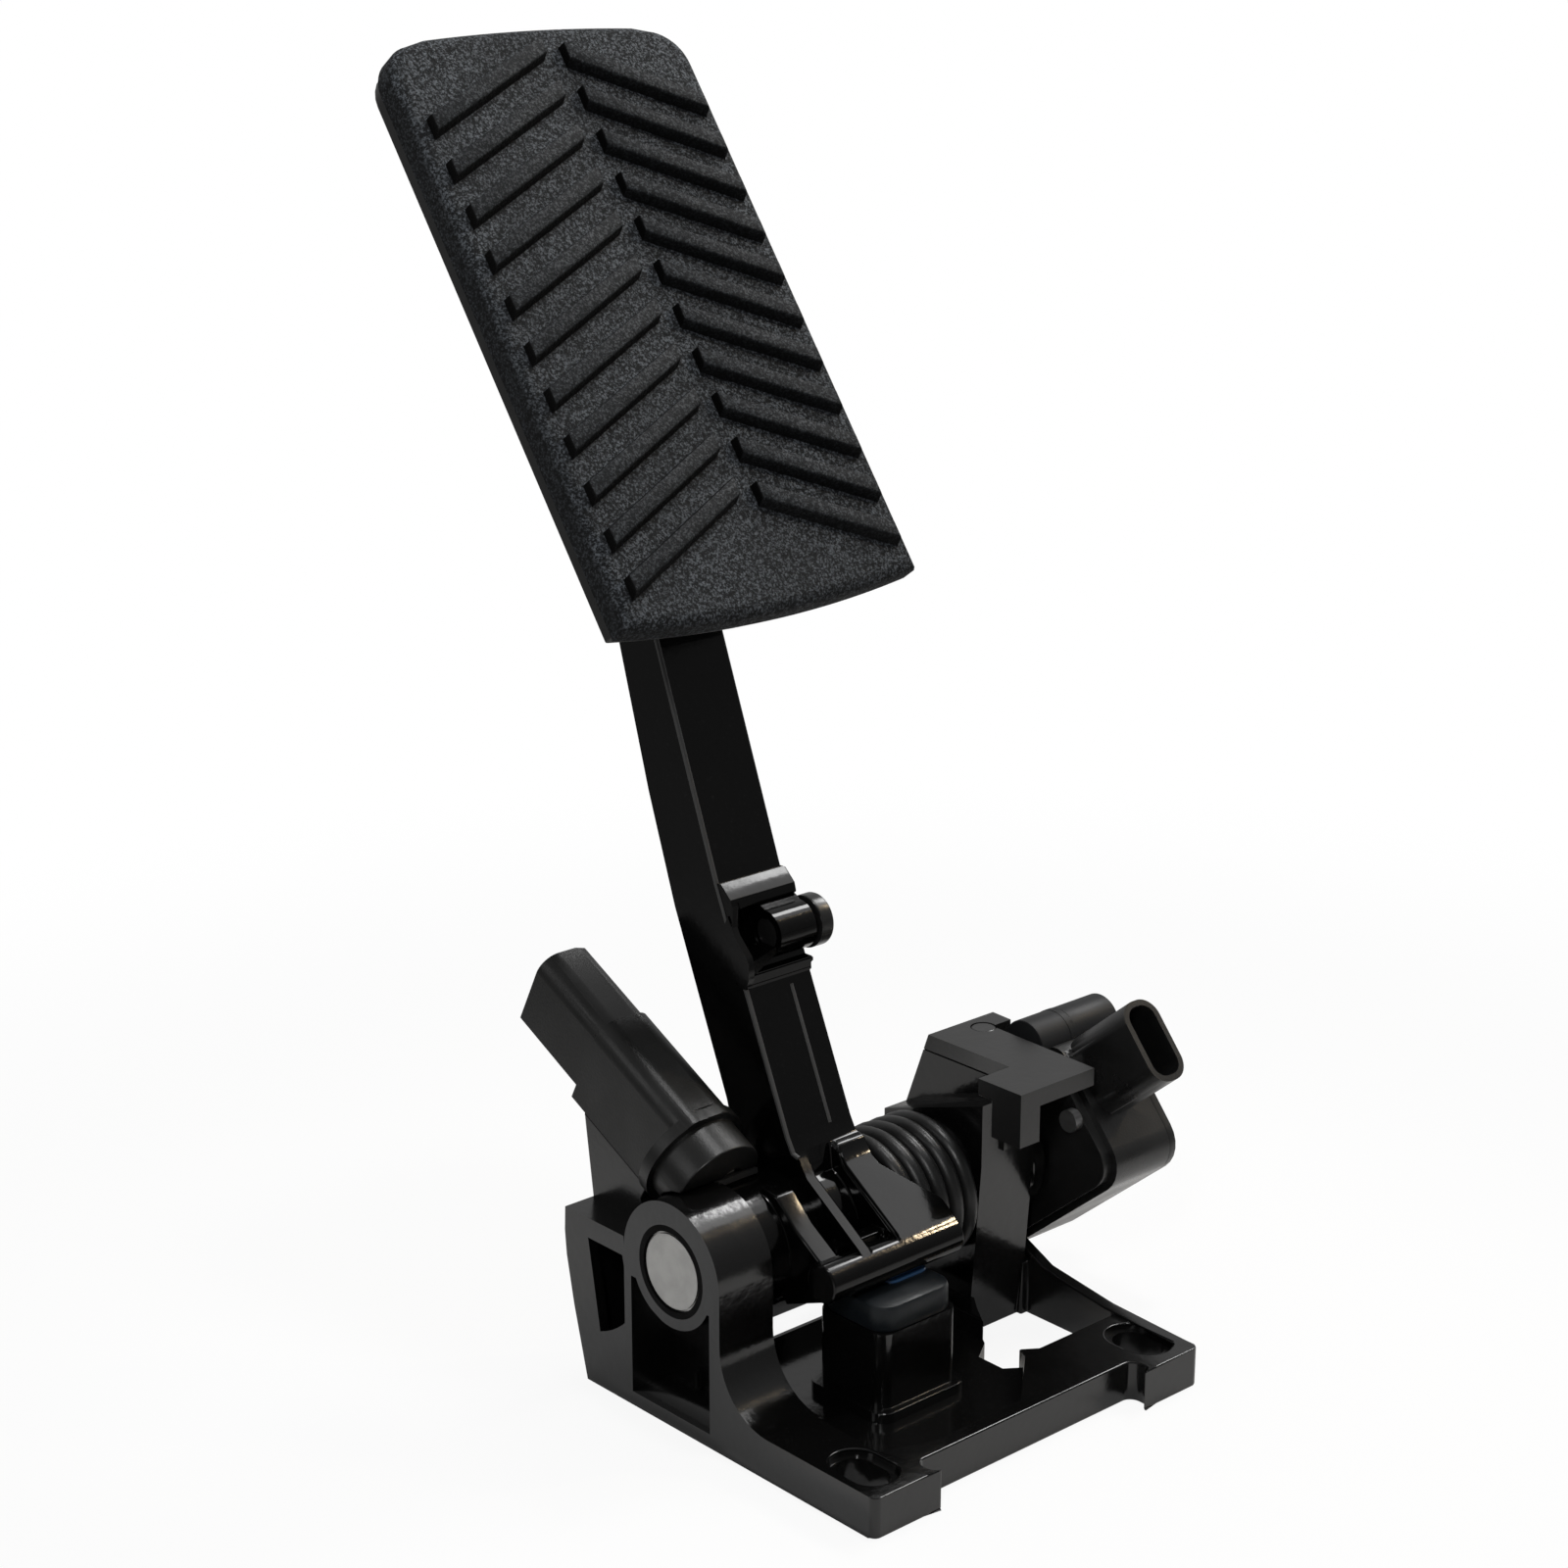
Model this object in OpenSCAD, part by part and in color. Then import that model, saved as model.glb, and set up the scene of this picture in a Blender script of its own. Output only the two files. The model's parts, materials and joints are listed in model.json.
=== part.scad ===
// Floor-mounted accelerator pedal with a hanging return spring and two electric units.
// X runs along the pivot, +Y is forward (the way the pedal is pressed), +Z is up.
// The origin is the centre of the base's underside.

/* [Base casting] */
// Depth of the base from front to rear
base_d = 98; // [94:1:106]
// Thickness of the base's rim and corners
base_t = 10; // [8:0.5:12]
// Thickness of the sunk floor between the uprights
floor_t = 5; // [4:0.5:7]
// How far the front edge steps back between its corner tabs
front_step = 6; // [3:0.5:8]
// Width of each front corner tab
tab_w = 18; // [15:0.5:20]
// Thickness of thin walls and webs
wall = 3.5; // [2.5:0.25:4]
// Distance of the mounting holes from the base's sides
bolt_edge = 8; // [7.5:0.5:10]
// Distance of the front slots from the middle of the base
slot_y = 37; // [35:0.5:38]
// Distance of the rear holes from the middle of the base
rear_hole_y = 40.5; // [39:0.5:41]
// Diameter of the mounting holes
bolt_d = 8.5; // [6.5:0.5:9]
// How far a slotted hole lets its bolt move
slot_travel = 5; // [3:0.5:7]
// Sunk ring round each mounting slot
slot_sink = 1.5; // [0.5:0.25:2]

/* [Pivot] */
// Distance of the pivot behind the middle of the base
pivot_y = 18; // [16:0.5:20]
// Height of the pivot over the underside
pivot_z = 39; // [37:0.5:42]
// Diameter of the pivot shaft
shaft_d = 19.05; // [17:0.05:19.5]
// Wall of the plain bushes
bush_wall = 1.5; // [1:0.25:2]
// Running gap between shaft and bush
run_gap = 0.05; // [0.03:0.01:0.08]
// Metal round each bush
boss_wall = 5.6; // [4.5:0.1:6.5]
// Thickness of the left upright along the pivot
left_w = 16; // [13:0.5:17]
// Thickness of the right upright along the pivot
right_w = 18; // [16:0.5:19]
// Width of the base beside the right upright
side_gap = 4.5; // [4.5:0.5:8]

/* [Arm] */
// Width of the pedal arm
arm_w = 20; // [17:0.5:22]
// Length of the hub between the left upright and the arm
hub_reach = 16.2; // [14:0.2:18]
// Diameter of the crank bar that rests on the bumper
crank_d = 9.3; // [8:0.1:10]
// Reach of the crank bar in front of the pivot
crank_reach = 26; // [25:0.5:28]
// Length of the crank bar
crank_w = 40; // [34:1:40]
// Diameter of the catch pin in the arm's lugs
catch_d = 8; // [6:0.5:9]
// Height of the catch pin over the underside
catch_z = 106; // [100:1:112]

/* [Pad] */
// Width of the foot pad
pad_w = 87; // [75:1:95]
// Height of the foot pad along its sides
pad_h = 145; // [130:1:155]
// How far the pad leans back from upright, in degrees
pad_lean = 35.75; // [33:0.25:38]
// Thickness of the rubber tread under its ribs
tread_t = 7; // [5:0.5:9]
// Thickness of the pad's backing plate
plate_t = 4; // [3:0.5:6]
// Number of chevron ribs
rib_n = 11; // [7:1:12]
// Width of a chevron rib
rib_w = 3.7; // [2:0.1:4.5]
// Height of a chevron rib
rib_h = 3.4; // [1:0.1:4]

/* [Return spring] */
// Diameter of the spring wire
wire_d = 4.3; // [3.5:0.1:4.4]
// Mean diameter of the coils
coil_d = 32.4; // [31.5:0.1:33.5]
// Number of coils
coil_n = 4.5; // [3.5:1:4.5]
// Distance from coil to coil
coil_pitch = 4.6; // [4.5:0.05:4.65]

/* [Sensor] */
// Thickness of the position sensor along the pivot
sensor_w = 24; // [22:1:28]
// Upward tilt of the sensor's long axis, in degrees
sensor_tilt = 40; // [36:1:44]
// Reach of the sensor in front of the pivot along that axis
sensor_reach = 33; // [31:0.5:36]
// Length of the sensor's connector
plug_len = 21; // [14:1:24]

/* [Idle switch] */
// Upward tilt of the switch's long axis, in degrees
switch_tilt = 27; // [25:0.5:29]
// Width of the switch
switch_w = 16; // [14:0.5:17]
// Length of the switch's body
switch_len = 34; // [30:1:38]
// Length of the connector on the switch
switch_plug = 24; // [18:1:28]

/* [Hidden] */
$fn = 48;
e = 0.01;
seat = 0.3;

// Stack along the pivot, from the left upright to the base's right side
hub_gap = 0.8;
coil_start = 3.2 + wire_d / 2;
coil_gap = 3.45;
base_w = left_w + hub_gap + hub_reach + arm_w + coil_start + coil_n * coil_pitch + coil_gap + right_w
    + side_gap;
left_face = -base_w / 2;
left_in = left_face + left_w;
hub_left = left_in + hub_gap;
arm_left = hub_left + hub_reach;
arm_right = arm_left + arm_w;
arm_x = arm_left + arm_w / 2;
coil_x = arm_right + coil_start;
spring_end = coil_x + coil_n * coil_pitch;
right_x = spring_end + coil_gap;
right_out = right_x + right_w;
side_x = base_w / 2;
bolt_x = base_w - 2 * bolt_edge;
front_y = -base_d / 2;
rear_y = base_d / 2;
shaft_r = shaft_d / 2;
bush_r = shaft_r + run_gap + bush_wall;
boss_r = bush_r + boss_wall;
foot_r = 16;
post_front = pivot_y - boss_r;
post_rear = pivot_y + boss_r;

// Sensor stack along the pivot
sensor_x = side_x + 0.5;
seal_t = 1;
boss_end = sensor_x - seal_t;
sensor_out = sensor_x + sensor_w;
shell = 3;
shaft_end = sensor_x + shell + 1;

// Switch frame: its collar's centre
switch_x = left_face + left_w + 0.5;
collar_r = 13.5;
collar_t = 4;
switch_y = pivot_y + 10.8;
switch_z = pivot_z + 19.7;
switch_low = -10.4;
switch_top = 13.4;
switch_right = switch_x + switch_w / 2;
switch_screw_v = [10, switch_len - 14];
plug_low = -7;
pedestal_z = 37;
mouth_t = 18;

// Tower and bumper under the crank bar
crank_y = pivot_y - crank_reach;
crank_z = pivot_z - 1;
tower_w = 24;
tower_front = -19;
tower_rear = crank_y + 11;
tower_z = 26;
bumper_r = 11;
stem_r = 5;
stem_h = 8;
cap_t = 1.2;

// Pad placed by its lower front edge
pad_y = 28.9;
pad_z = 186.4;
pad_t = tread_t + plate_t;
pad_arch = 3;
pad_corner = 10;
head_v = 84;
head_h = 62;
head_w = 40;
screw_v = 22;

// Room for the spring
spring_y = pivot_y - 1;
spring_z = pivot_z - 1.5;
coil_r = coil_d / 2;
sleeve_r = coil_r - wire_d / 2 - 2.4;
anchor_y = pivot_y + 14;
ring_t = 1.2;
ring_x = right_x - ring_t - 0.4;

function arc(cx, cy, r, a0, a1, n) = [for (i = [0:n]) let (a = a0 + (a1 - a0) * i / n)
    [cx + r * cos(a), cy + r * sin(a)]];

// Extrudes an outline drawn in (Y, Z) along X
module along_x(x0, x1) {
    translate([x0, 0, 0]) rotate([90, 0, 90]) linear_extrude(x1 - x0) children();
}
module bar_x(x0, x1, r, y = pivot_y, z = pivot_z) {
    translate([x0, y, z]) rotate([0, 90, 0]) cylinder(r = r, h = x1 - x0);
}
module at_pad() translate([arm_x, pad_y, pad_z]) rotate([90 - pad_lean, 0, 0]) children();
// Sensor frame: +Y out of its plug end, +Z down and forward
module at_sensor() translate([0, pivot_y, pivot_z]) rotate([180 - sensor_tilt, 0, 0]) children();
module at_switch() translate([switch_x, switch_y, switch_z]) rotate([switch_tilt, 0, 0]) children();

// A flat plate with four rounded corners, from its own corner
module round_rect(w, h, r) {
    translate([r, 0]) square([w - 2 * r, h]);
    translate([0, r]) square([w, h - 2 * r]);
    for (x = [r, w - r], y = [r, h - r]) translate([x, y]) circle(r);
}

module slot_shape(d, travel) {
    translate([-d / 2, -travel / 2]) square([d, travel]);
    for (s = [-1, 1]) translate([0, s * travel / 2]) circle(d = d);
}

// Base casting
module base_plate() {
    linear_extrude(base_t) difference() {
        translate([left_face, front_y]) round_rect(base_w, base_d, 2);
        translate([left_face + tab_w, front_y - e])
            round_rect(base_w - 2 * tab_w + 1, front_step + e, 2.5);
    }
}
module sunk_floor() {
    // Floor between the uprights, cut at 45 degrees towards the right front
    cut = 10;
    translate([0, 0, floor_t]) linear_extrude(base_t) polygon([
        [left_in - 1, -slot_y + 3], [left_in + 12, front_y + front_step + 4],
        [arm_x + 12, front_y + front_step + 4], [window_left + 7 - cut / 2, window_front],
        [window_left + 7, window_front + 12], [window_left + 7, rear_y - 6], [left_in - 1, rear_y - 6]]);
}
window_left = 17;
window_front = -24.5;
window_rear = post_front + 3.4;
window_right = side_x - wall + 1;
module windows() {
    translate([0, 0, -e]) linear_extrude(base_t + 2 * e) {
        polygon([[window_left, window_front + 5], [window_left + 7, window_front],
            [window_right, window_front], [window_right, window_rear], [window_left + 14, window_rear],
            [window_left + 6, post_front - 9], [window_left, post_front - 13]]);
        translate([switch_right + 0.5, pivot_y + 5]) square([right_x - switch_right - 4, rear_y - pivot_y - 11]);
    }
}
module left_upright() {
    along_x(left_face, left_in) difference() {
        union() {
            translate([pivot_y, pivot_z]) circle(boss_r);
            polygon(concat([[rear_y, 0], [rear_y, base_t], [post_rear, base_t], [post_rear, pivot_z],
                [post_front, pivot_z]],
                arc(post_front - foot_r, base_t + foot_r, foot_r, 0, -90, 10),
                [[post_front - foot_r, 0]]));
        }
        translate([pivot_y, pivot_z]) circle(bush_r);
    }
}
module left_pocket() {
    along_x(left_face - e, left_in - wall) difference() {
        translate([post_front + wall, wall])
            square([post_rear - post_front - 2 * wall + 1, pivot_z - wall - 6]);
        translate([pivot_y, pivot_z]) circle(bush_r + 2.7);
    }
}
// Rear box beside the left upright, bellied to the rear, with side access to its bolt
module rear_box() {
    belly = [[rear_y, 0], [rear_y + 2, 8], [rear_y + 4.6, 18], [rear_y + 7, 30], [rear_y + 7.5, 36],
        [rear_y + 7.2, 42]];
    difference() {
        along_x(left_face, switch_right) polygon(concat([[post_rear - e, 0]], belly, [[post_rear - e, 42]]));
        along_x(left_face + 2.5, left_in) polygon([[post_rear, base_t], [rear_y - 1, base_t],
            [rear_y + 3.5, pedestal_z], [post_rear, pedestal_z]]);
        along_x(left_in - e, switch_right - wall) polygon([[post_rear + wall, base_t],
            [rear_y - 1, base_t], [rear_y + 3.5, pedestal_z], [post_rear + wall, pedestal_z]]);
        along_x(left_face - e, left_face + 3)
            polygon(concat(arc(rear_y + 3, 38, 25, 251, 217, 6), [[post_rear + 0.6, pedestal_z],
                [rear_y - 1.2, pedestal_z]]));
    }
}
// Pedestal that carries the idle switch on a sloped saddle
module pedestal() {
    function on_switch(v, w) = [switch_y + v * cos(switch_tilt) - w * sin(switch_tilt),
        switch_z + v * sin(switch_tilt) + w * cos(switch_tilt)];
    front = 3 + seat;
    saddle = [on_switch(front, switch_low - 4), on_switch(front, switch_low),
        on_switch(switch_len - 5, switch_low)];
    low = [on_switch(front + wall, switch_low - wall), on_switch(switch_len - 7.5, switch_low - wall)];
    difference() {
        along_x(switch_x - switch_w / 2, switch_right)
            polygon(concat(saddle, [[rear_y + 7.2, 41], [post_rear + 0.5, 41]]));
        along_x(switch_x - switch_w / 2 + wall, switch_right - wall)
            polygon(concat(low, [[rear_y + 4, 42], [post_rear + wall, 42]]));
        at_switch() for (v = switch_screw_v) translate([0, v, switch_low - 8]) cylinder(d = 4.2, h = 9);
    }
}
module right_upright() {
    shoulder_z = 50;
    difference() {
        union() {
            // Lower part, whose top slopes up to the front
            along_x(right_x, right_out) polygon([[post_rear, 0], [post_rear, shoulder_z],
                [post_front, shoulder_z + 11], [post_front, 45], [window_rear, 0]]);
            // Upper block under the clamp plate
            along_x(clamp_x, right_out) polygon([[post_rear, shoulder_z - 2], [slant_y(clamp_z), clamp_z],
                [post_front - 1, clamp_z], [post_front - 1, shoulder_z - 2]]);
            // Ear under the plate's screw
            along_x(right_out - e, clamp_screw_x + 4) polygon([[slant_y(shoulder_z + 8), shoulder_z + 8],
                [slant_y(clamp_z), clamp_z], [pivot_y - 1, clamp_z], [pivot_y - 1, shoulder_z + 8]]);
            // Boss that reaches out to the sensor
            bar_x(right_out - e, boss_end, boss_r);
        }
        bar_x(right_x - 1, boss_end + 1, bush_r);
    }
}
module side_ramp() {
    along_x(side_x - wall, side_x) polygon([[front_y + 4, 0], [rear_y - 2, 0], [rear_y - 2, base_t + 2],
        [pivot_y + 20, base_t + 4], [pivot_y + 12, base_t + 12], [pivot_y, base_t + 15],
        [pivot_y - 7, base_t + 10], [pivot_y - 20, base_t + 3.8], [pivot_y - 40, base_t + 1],
        [front_y + 4, base_t]]);
    along_x(right_out - 1, side_x - wall + e) polygon([[post_front + 2, 0], [post_rear - 4, 0],
        [post_rear - 4, base_t + 8], [post_front + 2, base_t + 4]]);
}
module tower() {
    tower_x = arm_x - tower_w / 2;
    difference() {
        union() {
            translate([tower_x, tower_front, 0]) linear_extrude(tower_z)
                round_rect(tower_w, tower_rear - tower_front, 3);
            // Flared foot
            translate([tower_x - 2, tower_front - 2, 0]) linear_extrude(floor_t + 2.5)
                round_rect(tower_w + 4, tower_rear - tower_front + 4, 4);
        }
        translate([arm_x, crank_y, tower_z - stem_h]) cylinder(r = stem_r, h = stem_h + 1);
        translate([arm_x, tower_rear, floor_t + 4]) translate([-4, -6, 0]) cube([8, 10, 10]);
    }
}
module spring_anchor() {
    // Lug on the floor that holds the spring's rear leg
    z = spring_z - coil_r;
    difference() {
        translate([spring_end - 5, anchor_y, 0]) cube([10.5, 9, z + 4]);
        translate([spring_end, anchor_y - 1, z]) rotate([-90, 0, 0])
            cylinder(r = wire_d / 2 + 0.3, h = 11);
    }
}
module base() {
    color("#262628") {
        difference() {
            union() {
                difference() {
                    base_plate();
                    sunk_floor();
                    windows();
                }
                tower();
                left_upright();
                rear_box();
                pedestal();
                right_upright();
                side_ramp();
                spring_anchor();
            }
            left_pocket();
            for (s = [-1, 1]) {
                translate([s * bolt_x / 2, -slot_y, -e]) linear_extrude(base_t + 1)
                    slot_shape(bolt_d, slot_travel);
                translate([s * bolt_x / 2, -slot_y, base_t - slot_sink]) linear_extrude(slot_sink + e)
                    slot_shape(bolt_d + 3.6, slot_travel);
                translate([s * bolt_x / 2, rear_hole_y, -e]) cylinder(d = bolt_d, h = base_t + 1);
            }
            // Threaded hole for the clamp plate's screw
            translate([clamp_screw_x, clamp_screw_y, clamp_z - 6]) cylinder(d = 4, h = 7);
        }
    }
}

// Bushes, shaft and what holds them
module bush(x0, x1) {
    color("#101012") difference() {
        bar_x(x0, x1, bush_r);
        bar_x(x0 - 1, x1 + 1, shaft_r + run_gap);
    }
}
module left_bush() bush(left_face, left_in);
module right_bush() bush(right_x, boss_end);

// The cross pin slopes down to the front through hub and shaft
module at_hub_pin() translate([hub_pin_x, pivot_y, pivot_z]) rotate([-45, 0, 0]) children();
module pivot_shaft() {
    color("#a8a7a2") difference() {
        union() {
            bar_x(left_face + 0.3, shaft_end, shaft_r - 0.6);
            bar_x(left_face + 0.9, shaft_end - 0.6, shaft_r);
        }
        // Groove for the retaining ring
        difference() {
            bar_x(ring_x, ring_x + ring_t, shaft_r + 1);
            bar_x(ring_x - 1, ring_x + ring_t + 1, shaft_r - 1);
        }
        at_hub_pin() cylinder(d = hub_pin_d, h = 40, center = true);
    }
}
hub_pin_x = hub_left + 8;
hub_pin_d = 5;
hub_r = 15;
module retaining_ring() {
    color("#8d8c88") difference() {
        bar_x(ring_x, ring_x + ring_t, shaft_r + 3);
        bar_x(ring_x - 1, ring_x + ring_t + 1, shaft_r - 1);
        translate([ring_x - 1, pivot_y - 5, pivot_z - 20]) cube([4, 10, 20]);
    }
}
module hub_pin() {
    color("#8d8c88") at_hub_pin() difference() {
        cylinder(d = hub_pin_d, h = 2 * hub_r - 1, center = true);
        cylinder(d = hub_pin_d - 2, h = 2 * hub_r, center = true);
    }
}

// Pedal arm: one casting of hub, crank, arm, catch lugs and pad head
// Front and rear edges of the arm in (Y, Z), from the hub to the pad
arm_front = [[12, 50], [13.4, 59.6], [15.4, 63], [28.8, 93.5], [39.6, 118], [59.4, 170], [74, 206]];
arm_back = [[84, 200], [74, 170], [63.6, 135], [54.6, 109], [45.4, 87], [36.4, 66], [31.6, 50], [30, 42]];
function pad_point(v, d) = [pad_y + v * sin(pad_lean) + d * cos(pad_lean),
    pad_z + v * cos(pad_lean) - d * sin(pad_lean)];
module arm_outline() {
    polygon(concat(arm_front, [pad_point(head_v - head_h / 2, pad_t), pad_point(head_v + 14, pad_t)],
        arm_back));
}
module arm_hollow() {
    // Channel in the arm's back, between two side flanges
    polygon([[79, 214], [60.5, 164], [47, 124], [42.5, 112], [38.5, 100], [31.5, 93.5], [24.5, 78], [39, 66],
        [50, 84], [60, 105], [69, 131], [80, 168], [92, 205]]);
}
// Catch bracket: a thin cheek, a ridge, a round boss and the gusset under it
catch_y = 32.5;
module catch_bracket() {
    fy = catch_y;
    fz = catch_z;
    along_x(arm_left, arm_left + 2) polygon([[fy - 2.6, fz - 11], [fy + 1.5, fz], [fy + 1.5, fz + 8],
        [fy + 5.5, fz + 12.5], [fy + 12, fz + 12], [fy + 8, fz - 12]]);
    along_x(arm_left, arm_right) polygon([[fy + 1.5, fz + 7], [fy + 2.2, fz + 9.5], [fy + 5.5, fz + 12.5],
        [fy + 12, fz + 12], [fy + 9, fz + 6]]);
    along_x(arm_left, arm_right) polygon([[fy - 2.8, fz - 13], [fy - 1, fz - 9.5], [fy + 0.3, fz - 5],
        [fy + 8, fz - 4], [fy + 6, fz - 16]]);
    along_x(arm_left + 8.5, arm_right) {
        translate([fy, fz]) circle(catch_d / 2 + 1.8);
        polygon([[fy - 3, fz - 5], [fy - 4, fz + 4], [fy + 7, fz + 9], [fy + 7, fz - 7]]);
    }
}
// Pocket in the arm's front wall beside the boss
module catch_pocket() {
    along_x(arm_left + 2, arm_left + 8.5) polygon([[catch_y - 6, catch_z - 4], [catch_y + 5, catch_z - 4],
        [catch_y + 8.5, catch_z + 7], [catch_y - 3, catch_z + 7]]);
}
module crank() {
    crank_r = crank_d / 2;
    flank = [[13.4, 59.6], [11.3, 58.9], [8.6, 54.9], [-8.9, 43.3], [crank_y - 3.5, crank_z + 3]];
    bar_x(crank_left - 0.8, crank_right, crank_r, crank_y, crank_z);
    // Left rib, with its raised head over the hub
    along_x(crank_left, crank_left + 5.5) polygon([[pivot_y, pivot_z], [13, 54.3], [8, 53.8], [1.8, 48],
        [crank_y + 1, crank_z + crank_r - 0.1], [crank_y, crank_z - crank_r],
        [pivot_y - 6, pivot_z - hub_r + 1.3]]);
    // Rail behind the bar, from the left rib to the sloped plate
    along_x(crank_left, slope_left + 4) polygon([[-5, 39], [-1, 39], [-1, 43.6], [-5, 43.6]]);
    // Flange that carries on the arm's left side
    along_x(arm_left, arm_left + 3) polygon(concat(flank, [[crank_y, crank_z],
        [crank_y + 2, crank_z - crank_r + 0.3], [crank_y + bumper_r, crank_z - crank_r],
        [pivot_y - 6, pivot_z - hub_r + 1.3], [pivot_y, pivot_z]]));
    // Sloped plate with a raised right half that widens towards the bar
    for (x = [[slope_left, arm_x + 2, -0.7], [arm_x + 2 - e, crank_right, 0]]) intersection() {
        translate([0, 0, x[2]]) along_x(x[0], x[1]) polygon(concat(flank,
            [[crank_y, crank_z], [crank_y + 4.5, crank_z - 1], [4, 40], [pivot_y, pivot_z + 6]]));
        linear_extrude(80) polygon([[slope_left, crank_y - 6], [crank_right, crank_y - 6],
            [crank_right, -5], [arm_right + 1, 6.5], [arm_right, 20], [slope_left, 20]]);
    }
}
crank_left = arm_x - crank_w / 2;
crank_right = arm_x + crank_w / 2;
slope_left = arm_left + 11.5;
module pedal_arm() {
    color("#0c0c0e") difference() {
        union() {
            bar_x(hub_left, arm_right + 1, hub_r);
            difference() {
                along_x(arm_left, arm_right) arm_outline();
                along_x(arm_left + wall, arm_right - wall) arm_hollow();
            }
            catch_bracket();
            crank();
            pad_head();
        }
        bar_x(hub_left - 1, arm_right + 12, shaft_r);
        // Clearance round the spring's coils
        bar_x(arm_right + 1, coil_x + 40, coil_r + wire_d / 2 + 0.4, spring_y, spring_z);
        catch_pocket();
        bar_x(arm_left + 8.5, arm_right + 1, catch_d / 2, catch_y, catch_z);
        at_hub_pin() cylinder(d = hub_pin_d, h = 40, center = true);
        bar_x(tang_x, arm_right + 3, wire_d / 2 + 0.3, spring_y + tang_bend, spring_z + coil_r);
        at_pad() for (s = [-1, 1]) translate([0, head_v + s * screw_v, -pad_t - 9])
            cylinder(d = 6, h = 10);
    }
}
tang_x = arm_right - 7;
module pad_head() {
    // Flat head behind the pad, with a web down the arm
    at_pad() translate([0, 0, -pad_t - 5]) linear_extrude(5)
        translate([-head_w / 2, head_v - head_h / 2]) round_rect(head_w, head_h, 6);
    along_x(arm_x - arm_w / 2, arm_x - arm_w / 2 + wall)
        polygon([pad_point(head_v + 24, pad_t + 2), pad_point(head_v - 10, pad_t + 2), [76, 196], [86, 202]]);
    along_x(arm_x + arm_w / 2 - wall, arm_x + arm_w / 2)
        polygon([pad_point(head_v + 24, pad_t + 2), pad_point(head_v - 10, pad_t + 2), [76, 196], [86, 202]]);
}
module catch_pin() {
    color("#161618") {
        bar_x(arm_left + 9.5, arm_right + 1.5, catch_d / 2, catch_y, catch_z);
        bar_x(arm_right + 0.8, arm_right + 4.6, catch_d / 2 + 2.3, catch_y, catch_z);
    }
}

// Foot pad
module pad_outline(inset) {
    w = pad_w / 2 - inset;
    rise = 2;
    corner = pad_corner - inset;
    top_r = (w * w + rise * rise) / (2 * rise);
    polygon(concat(
        [for (i = [0:12]) let (x = -w + 2 * w * i / 12)
            [x, inset - pad_arch * (1 - pow(x / w, 2))]],
        arc(w - corner, pad_h - inset - corner, corner, 0, 82, 6),
        [for (i = [1:11]) let (x = (w - corner) * (1 - 2 * i / 12))
            [x, pad_h - inset + sqrt(top_r * top_r - x * x) - top_r + rise]],
        arc(-w + corner, pad_h - inset - corner, corner, 98, 180, 6)));
}
module pad_plate() {
    color("#17181a") at_pad() translate([0, 0, -pad_t]) difference() {
        linear_extrude(plate_t) pad_outline(1.2);
        for (s = [-1, 1]) translate([0, head_v + s * screw_v, -1]) {
            cylinder(d = 6.4, h = plate_t + 2);
            translate([0, 0, plate_t - 1]) cylinder(d = 12.4, h = 3);
        }
    }
}
rib_pitch = (pad_h - 31) / (rib_n - 1);
rib_slope = 27;
rib_edge = 4;
module half_ribs(side) {
    start = (side < 0) ? 0.6 : 5;
    reach = pad_w / 2 - rib_edge;
    half = rib_w / 2 / cos(rib_slope);
    for (i = [0:rib_n - 1])
        translate([0, 9 + reach * tan(rib_slope) + i * rib_pitch, tread_t - e]) linear_extrude(rib_h)
            polygon([for (p = [[start, half], [reach, half], [reach, -half], [start, -half]])
                [side * p[0], p[1] - p[0] * tan(rib_slope)]]);
}
module pad_tread() {
    color("#232426") at_pad() translate([0, 0, -tread_t]) {
        linear_extrude(tread_t - 1) pad_outline(0);
        translate([0, 0, tread_t - 1 - e]) linear_extrude(1 + e) pad_outline(1);
        half_ribs(-1);
        half_ribs(1);
    }
}
module pad_screws() {
    color("#3a3a3c") at_pad() for (s = [-1, 1]) translate([0, head_v + s * screw_v, -pad_t])
        rotate_extrude() polygon([[0, -8.6], [2.9, -8.6], [2.9, plate_t - 1], [6, plate_t - 1],
            [6, plate_t - 0.1], [0, plate_t - 0.1]]);
}

// Return spring: a tang into the arm, a bend, the coils, and a leg to the rear along the floor
tang_bend = 3;
function unit(v) = v / norm(v);
module return_spring() {
    per_turn = 30;
    turn = 360 / per_turn;
    tang = [[tang_x + 1, spring_y + tang_bend, spring_z + coil_r]];
    bend = [for (a = [90:-18:18]) [coil_x - tang_bend + tang_bend * cos(a), spring_y + tang_bend * sin(a),
        spring_z + coil_r]];
    helix = [for (i = [0:coil_n * per_turn]) [coil_x + coil_pitch * i / per_turn,
        spring_y - coil_r * sin(i * turn), spring_z + coil_r * cos(i * turn)]];
    leg = [[spring_end, spring_y + 2, spring_z - coil_r], [spring_end, anchor_y + 3, spring_z - coil_r]];
    side = concat([for (p = concat(tang, bend)) [0, 0, 1]],
        [for (i = [0:coil_n * per_turn]) [0, -sin(i * turn), cos(i * turn)]], [for (p = leg) [0, 0, -1]]);
    color("#3a3a3a") swept(concat(tang, bend, helix, leg), side, wire_d / 2, 10);
}
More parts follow.
